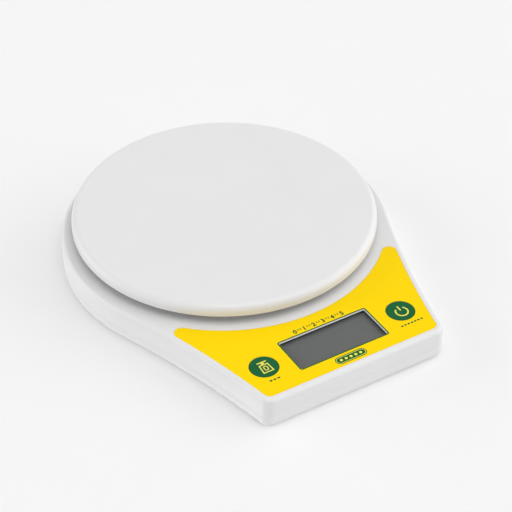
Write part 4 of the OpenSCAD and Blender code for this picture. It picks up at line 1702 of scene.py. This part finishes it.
        # Painted shade: a dark grey ring on the window's wall under the lens, where the wall lies in shade.
        seal = self.lining(self.linings[0], self.seal, self.seal)
        lip = self.lining(self.linings[1], *self.lip)
        pale = palette.special("pale_ink", PALE_INK)
        shop.piece("panel_label", self.label(), Slot.LABEL, "face_label")
        extras = [
            ("panel_printing", self.printing(), Slot.KEY, palette.special("dark_ink", DARK_INK)),
            ("badge_printing", self.highlights(), Slot.LABEL, pale),
            ("display_film", film, Slot.DISPLAY, palette.special("liquid_crystal", crystal)),
            # The dark ring of painted shade on the window's wall.
            ("window_shade_band", seal, Slot.RUBBER, palette.special("shade_band_grey", SHADE_BAND_GREY)),
            ("window_lip", lip, Slot.WHITE, palette.of(Slot.WHITE)),
        ]
        for name, shape, slot, paint in extras:
            shop.piece(name, shape, slot, "face_label", paint, stands_in=False)
        for spot, (side, offset, strokes) in zip(self.key_spots, SIGNS):
            node, sign = f"{side}_key", self.sign(spot, offset, strokes)
            shop.piece(f"{side}_button", self.key_solid(node), Slot.KEY, node)
            shop.piece(f"{side}_sign", sign, Slot.LABEL, node, pale, stands_in=False)


@dataclass(frozen=True)
class BatteryBay:
    """The battery bay: its walls in the lower shell, the door, two batteries and the springs.

    The door's finger recess is (place behind the front edge, width, depth, corner radius, height),
    and the arrow's corners are (x, place behind the front edge). The recess's ribs are spans of Y
    behind the front edge and of height. A battery and its button are (diameter, length). Its tail is
    (radius, height), and its nose is (how far past the button's side, height over the sleeve). A
    spring's cone is its two end radii, and it is flat for a share of its length at each end.
    """

    at: Levels
    middle: Pair = (0.0, -42.25)
    room: Pair = (49.2, 22.4)
    wall: float = 1.6
    below_cell: float = 0.5
    slot_deep: float = 2.6
    door_thick: float = 1.6
    door_edges: Pair = (0.15, 0.3)
    door_gap: float = 0.3
    door_corner: float = 0.5
    tab: Triple = (6.0, 1.7, 1.0)
    tab_x: float = 15.0
    tab_lift: float = 0.1
    neck: float = 1.0
    into: float = 0.3
    overlap: float = 0.9
    edge: float = 0.1
    recess: tuple[float, ...] = (4.2, 12.0, 4.0, 1.9, 0.7)
    arrow: tuple[Pair, ...] = ((-2.2, 9.2), (0, 7.2), (2.2, 9.2))
    arrow_deep: float = 0.3
    rib_pitch: float = 1.4
    rib_wide: float = 0.5
    rib_y: Pair = (2.8, 5.6)
    rib_z: Pair = (0.25, 0.9)
    tongue: Triple = (10.0, 0.9, 1.4)
    tongue_in: float = 0.2
    cell: Pair = (10.5, 44.5)
    button: Pair = (3.8, 0.8)
    roll: float = 0.4
    rolled: float = 0.95
    tail: tuple[Pair, ...] = ((0, 0.3), (3.7, 0.3), (4.0, 0.08))
    shoulder: Pair = (3.9, -0.15)
    nose: tuple[Pair, ...] = ((0.5, -0.15), (0, 0.05), (0, 0.55), (-0.07, 0.73), (-0.25, 0.8))
    plate: float = 0.4
    spring: float = 3.6
    turns: float = 3.25
    wire: float = 0.7
    cone: Pair = (3.6, 2.0)
    flat: float = 0.1
    springs: tuple[tuple[str, int, str], ...] = (
        ("spring_minus", -1, "battery_rear"),
        ("spring_link", 1, "battery_front"),
    )

    @property
    def rear(self) -> float:
        """Place of the bay's rear wall along Y, where the door turns."""
        return self.middle[1] + self.room[1] / 2

    def rectangle(self, grow: float) -> Outline:
        """The bay's plan, moved out all round."""
        return round_rect(*self.middle, self.room[0] + 2 * grow, self.room[1] + 2 * grow, 0)

    def walls(self) -> Solid:
        """The block that the bay is cut from."""
        top = box_mm("battery_front")[1, 2] - self.below_cell
        return Solid().slab(self.rectangle(self.wall), self.at.floor - ROOT, top)

    def hollow(self) -> Solid:
        """The cutter for the bay and its hatch."""
        return Solid().slab(self.rectangle(0), self.at.base - CUT, self.at.top)

    def slots(self) -> Solid:
        """Cutters in the rear wall for the door's two tabs, as high as a tab's corner swings.

        Returns:
            The cutters.
        """
        made, at, (width, reach, thick) = Solid(), self.at, self.tab
        high = np.hypot(reach, at.floor - at.base + self.tab_lift + thick) + self.door_gap
        for x in (-self.tab_x, self.tab_x):
            y = (self.rear - CUT, self.rear + self.slot_deep)
            made.block(x, width + 2 * self.door_gap, y, (at.floor, at.base + high))
        return made

    def door(self) -> Mesh:
        """The door: a plate with a ribbed finger recess and an arrow, two tabs and a springy tongue.

        Returns:
            The mesh.
        """
        base, (x, y), edge = self.at.base, self.middle, self.edge
        width, depth = (size - 2 * self.door_gap for size in self.room)
        top, front, back = base + self.door_thick, y - depth / 2, self.rear - self.door_gap
        outline = round_rect(x, y, width, depth, self.door_corner, 4)
        upper, lower = self.door_edges
        plate = Solid().slab(outline, base, top, top=upper, bottom=lower, steps=4, rim=0.3)
        behind, *size, high = self.recess
        recess = Solid().slab(round_rect(0, front + behind, *size), base - CUT, base + high)
        arrow = [Arc((x, front + y), 0, 0, 0, 0) for x, y in self.arrow]
        recess.slab(Outline(arrow), base - CUT, base + self.arrow_deep)
        ribs, neck, hooks = Solid(), Solid(), Solid()
        rib_y, rib_z = [front + y for y in self.rib_y], [base + z for z in self.rib_z]
        for i in range(-3, 4):
            ribs.block(self.rib_pitch * i, self.rib_wide, rib_y, rib_z, edge)
        wide, reach, thick = self.tab
        foot = self.at.floor + self.tab_lift
        for side in (-self.tab_x, self.tab_x):
            neck.block(side, wide, (back - self.neck, back), (top - self.into, foot + thick), edge)
            hooks.block(side, wide, (back - self.overlap, self.rear + reach), (foot, foot + thick), edge)
        (width, thick, high), start = self.tongue, front + self.tongue_in
        neck.block(0, width, (start, start + thick), (top - self.into, top + high), edge)
        return carved(plate, [(Cut.TAKE, recess), (Cut.JOIN, ribs), (Cut.JOIN, neck), (Cut.JOIN, hooks)])

    def battery(self, node: str, turned: int) -> Solid:
        """A battery about its axis along X: a sleeve rolled in at both ends, and bare metal within.

        Args:
            node: Its CAD node.
            turned: 1 if its button points to +X, -1 if to -X.

        Returns:
            The battery, its sleeve painted 0 and its metal 1.
        """
        _, y, z = box_mm(node).mean(axis=0)
        start, radius = box_mm(node)[0 if turned > 0 else 1, 0], self.cell[0] / 2
        end, b, inner = self.cell[1] - self.button[1], self.button[0] / 2, radius - self.rolled
        roll = bend((radius - self.roll, self.roll), self.roll, -90, 0, 4)
        sleeve = np.concatenate([[(inner, 0)], roll, roll[::-1] * (1, -1) + (0, end), [(inner, end)]])
        tail = np.array([*self.tail, (inner, 0)])
        button = [(b + out, up) for out, up in self.nose]
        nose = np.array([(inner, 0), self.shoulder, *button, (0, self.button[1])]) + (0, end)
        made = Solid()
        for profile, paint in ((sleeve, 0), (tail, 1), (nose, 1)):
            made.revolve(profile * (1, turned), (start, y, z), 72, along_x=True, paint=paint)
        return made

    def coil(self, side: int, battery: str) -> Solid:
        """A cone of wire: radius and place along X change evenly, with a flat turn at each end.

        Args:
            side: 1 at the bay's right-hand end, -1 at its left.
            battery: The CAD node of the battery that it presses on.

        Returns:
            The spring.
        """
        _, y, z = box_mm(battery).mean(axis=0)
        t = np.linspace(0, 1, 150)
        rise = np.clip((t - self.flat) / (1 - 2 * self.flat), 0, 1) * (self.spring - self.wire)
        r = self.cone[0] - (self.cone[0] - self.cone[1]) * t
        x = side * (self.room[0] / 2 - self.plate - self.wire / 2 - rise)
        a = 2 * np.pi * self.turns * t
        path = np.column_stack([x, y + r * np.cos(a), z + side * r * np.sin(a)])
        return Solid().tube(path, self.wire, 10, (1.0, 0.0, 0.0))

    def build(self, shop: Shop) -> None:
        """Makes the door, the batteries and the springs.

        Args:
            shop: Where the pieces are made.
        """
        shop.piece("door", self.door(), Slot.WHITE, "battery_door")
        metal = shop.palette.of(Slot.NICKEL)
        for node, turned in (("battery_front", -1), ("battery_rear", 1)):
            wrap = replace(SLEEVE, middle=float(box_mm(node)[:, 0].mean()), turned=float(turned))
            sleeve = shop.palette.special(f"{node}_sleeve", wrap)
            shape = self.battery(node, turned)
            shop.piece(node.replace("battery", "cell"), shape, Slot.BATTERY, node, sleeve, metal)
        for node, side, battery in self.springs:
            shop.piece(node.replace("spring", "coil"), self.coil(side, battery), Slot.NICKEL, node)


# ---- Studio ----


def outward(azimuth: float, elevation: float) -> Array:
    """The direction (sin a cos e, -cos a cos e, sin e) from the object, with angles in degrees."""
    a, e = np.radians([azimuth, elevation])
    return np.array([np.sin(a) * np.cos(e), -np.cos(a) * np.cos(e), np.sin(e)])


@dataclass(frozen=True)
class Light:
    """A wide soft light, far off on one side.

    Its azimuth is measured as the camera's: 0 is in front of the object and 90 on its right.
    """

    name: str
    azimuth: float
    elevation: float
    strength: float
    spread: float = 50.0
    passes_floor: bool = False

    def build(self, floor: bpy.types.Object) -> None:
        """Adds the light.

        Args:
            floor: The floor, which doesn't block a light that passes it.
        """
        light = bpy.data.lights.new(self.name, "SUN")
        light.energy, light.angle = self.strength, np.radians(self.spread)
        made = placed(self.name, light)
        made.rotation_euler = Vector(outward(self.azimuth, self.elevation)).to_track_quat("Z", "Y").to_euler()
        if self.passes_floor:
            passed = bpy.data.collections.new("passed")
            passed.objects.link(floor)
            passed.collection_objects[0].light_linking.link_state = "EXCLUDE"
            made.light_linking.blocker_collection = passed


LIGHTS = (
    Light("behind_left", 232, 12, 1.1),
    Light("left", 280, 25, 0.25),
    Light("above", 0, 80, 0.92),
    Light("front_right", 45, 38, 0.35),
    Light("front_right_low", 45, 10, 0.55),
    Light("right", 90, 38, 0.5),
    Light("right_low", 90, 10, 0.44),
    Light("below", 215, -68, 1.0, 30.0, passes_floor=True),
)


@dataclass(frozen=True)
class Studio:
    """Camera, soft light and a pale floor. Half the floor's width is in metres."""

    azimuth: float = -30.86
    elevation: float = 39.26
    roll: float = -0.19
    distance: float = 866.7
    aim: Triple = (0.33, -9.36, 16.5)
    lens: float = 126.16
    sensor: float = 36.0
    clip: Pair = (0.01, 50.0)
    surround: float = 0.4
    backdrop: float = 0.9
    half: float = 30.0
    floor: Table = Table((0.9, 0.9, 0.9), 0.75, grain=0.8, depth=0.01, tone=0.003)

    def camera(self) -> None:
        """Places the camera on the line outward from its aim, with right and up square to it."""
        back, r = outward(self.azimuth, self.elevation), np.radians(self.roll)
        x = np.cross((0, 0, 1), back)
        x /= np.linalg.norm(x)
        y = np.cross(back, x)
        matrix = np.eye(4)
        matrix[:3, 0], matrix[:3, 1] = x * np.cos(r) + y * np.sin(r), y * np.cos(r) - x * np.sin(r)
        matrix[:3, 2], matrix[:3, 3] = back, (np.array(self.aim) + self.distance * back) * MM
        data = bpy.data.cameras.new("camera")
        data.lens, data.sensor_width, (data.clip_start, data.clip_end) = self.lens, self.sensor, self.clip
        made = placed("camera", data)
        made.matrix_world = matrix.T.tolist()
        bpy.context.scene.camera = made

    def sky(self) -> None:
        """An even surround, as bright as the floor where the camera sees it."""
        world = bpy.data.worlds.new("surround")
        bpy.context.scene.world = world
        world.use_nodes = True
        world.node_tree.nodes.clear()
        wiring = Wiring(world.node_tree)
        seen = wiring.node("LightPath").outputs["Is Camera Ray"]
        strength = wiring.remap(seen, 0.0, 1.0, self.surround, self.backdrop)
        surround = wiring.node("Background", {"Color": (1.0, 1.0, 1.0), "Strength": strength})
        wiring.node("OutputWorld", {"Surface": surround.outputs[0]})

    def table(self, effects: Effects) -> bpy.types.Object:
        """The floor, a wide sheet at the height of the feet.

        Args:
            effects: The shared node groups.

        Returns:
            The floor.
        """
        mesh, r = bpy.data.meshes.new("floor"), self.half
        mesh.from_pydata([(-r, -r, 0), (r, -r, 0), (r, r, 0), (-r, r, 0)], [], [[0, 1, 2, 3]])
        mesh.materials.append(self.floor.material("floor", effects))
        floor = placed("floor", mesh)
        return floor

    def build(self, effects: Effects) -> None:
        """Sets up the camera, the lights and the floor.

        Args:
            effects: The shared node groups.
        """
        bpy.context.scene.view_settings.view_transform = "Standard"
        self.camera()
        self.sky()
        floor = self.table(effects)
        for light in LIGHTS:
            light.build(floor)


def main() -> None:
    """Builds the studio and each sub-assembly in order, and reports each piece."""
    logging.basicConfig(level=logging.INFO, format="%(name)s: %(message)s", force=True)
    plan, at = Plan(), Levels.read()
    shop = Shop(Palette())
    Studio().build(shop.palette.effects)
    panel, bay = Panel(plan, at), BatteryBay(at)
    Housing(plan, at).build(shop, panel, bay)
    Platform(plan).build(shop)
    panel.build(shop)
    bay.build(shop)
    for made in shop.made:
        log.info("piece %s: %d faces", made.name, len(made.data.polygons))
    for name in shop.dress_frame():
        log.info("CAD node %s keeps its shape", name)


if __name__ == "__main__":
    main()
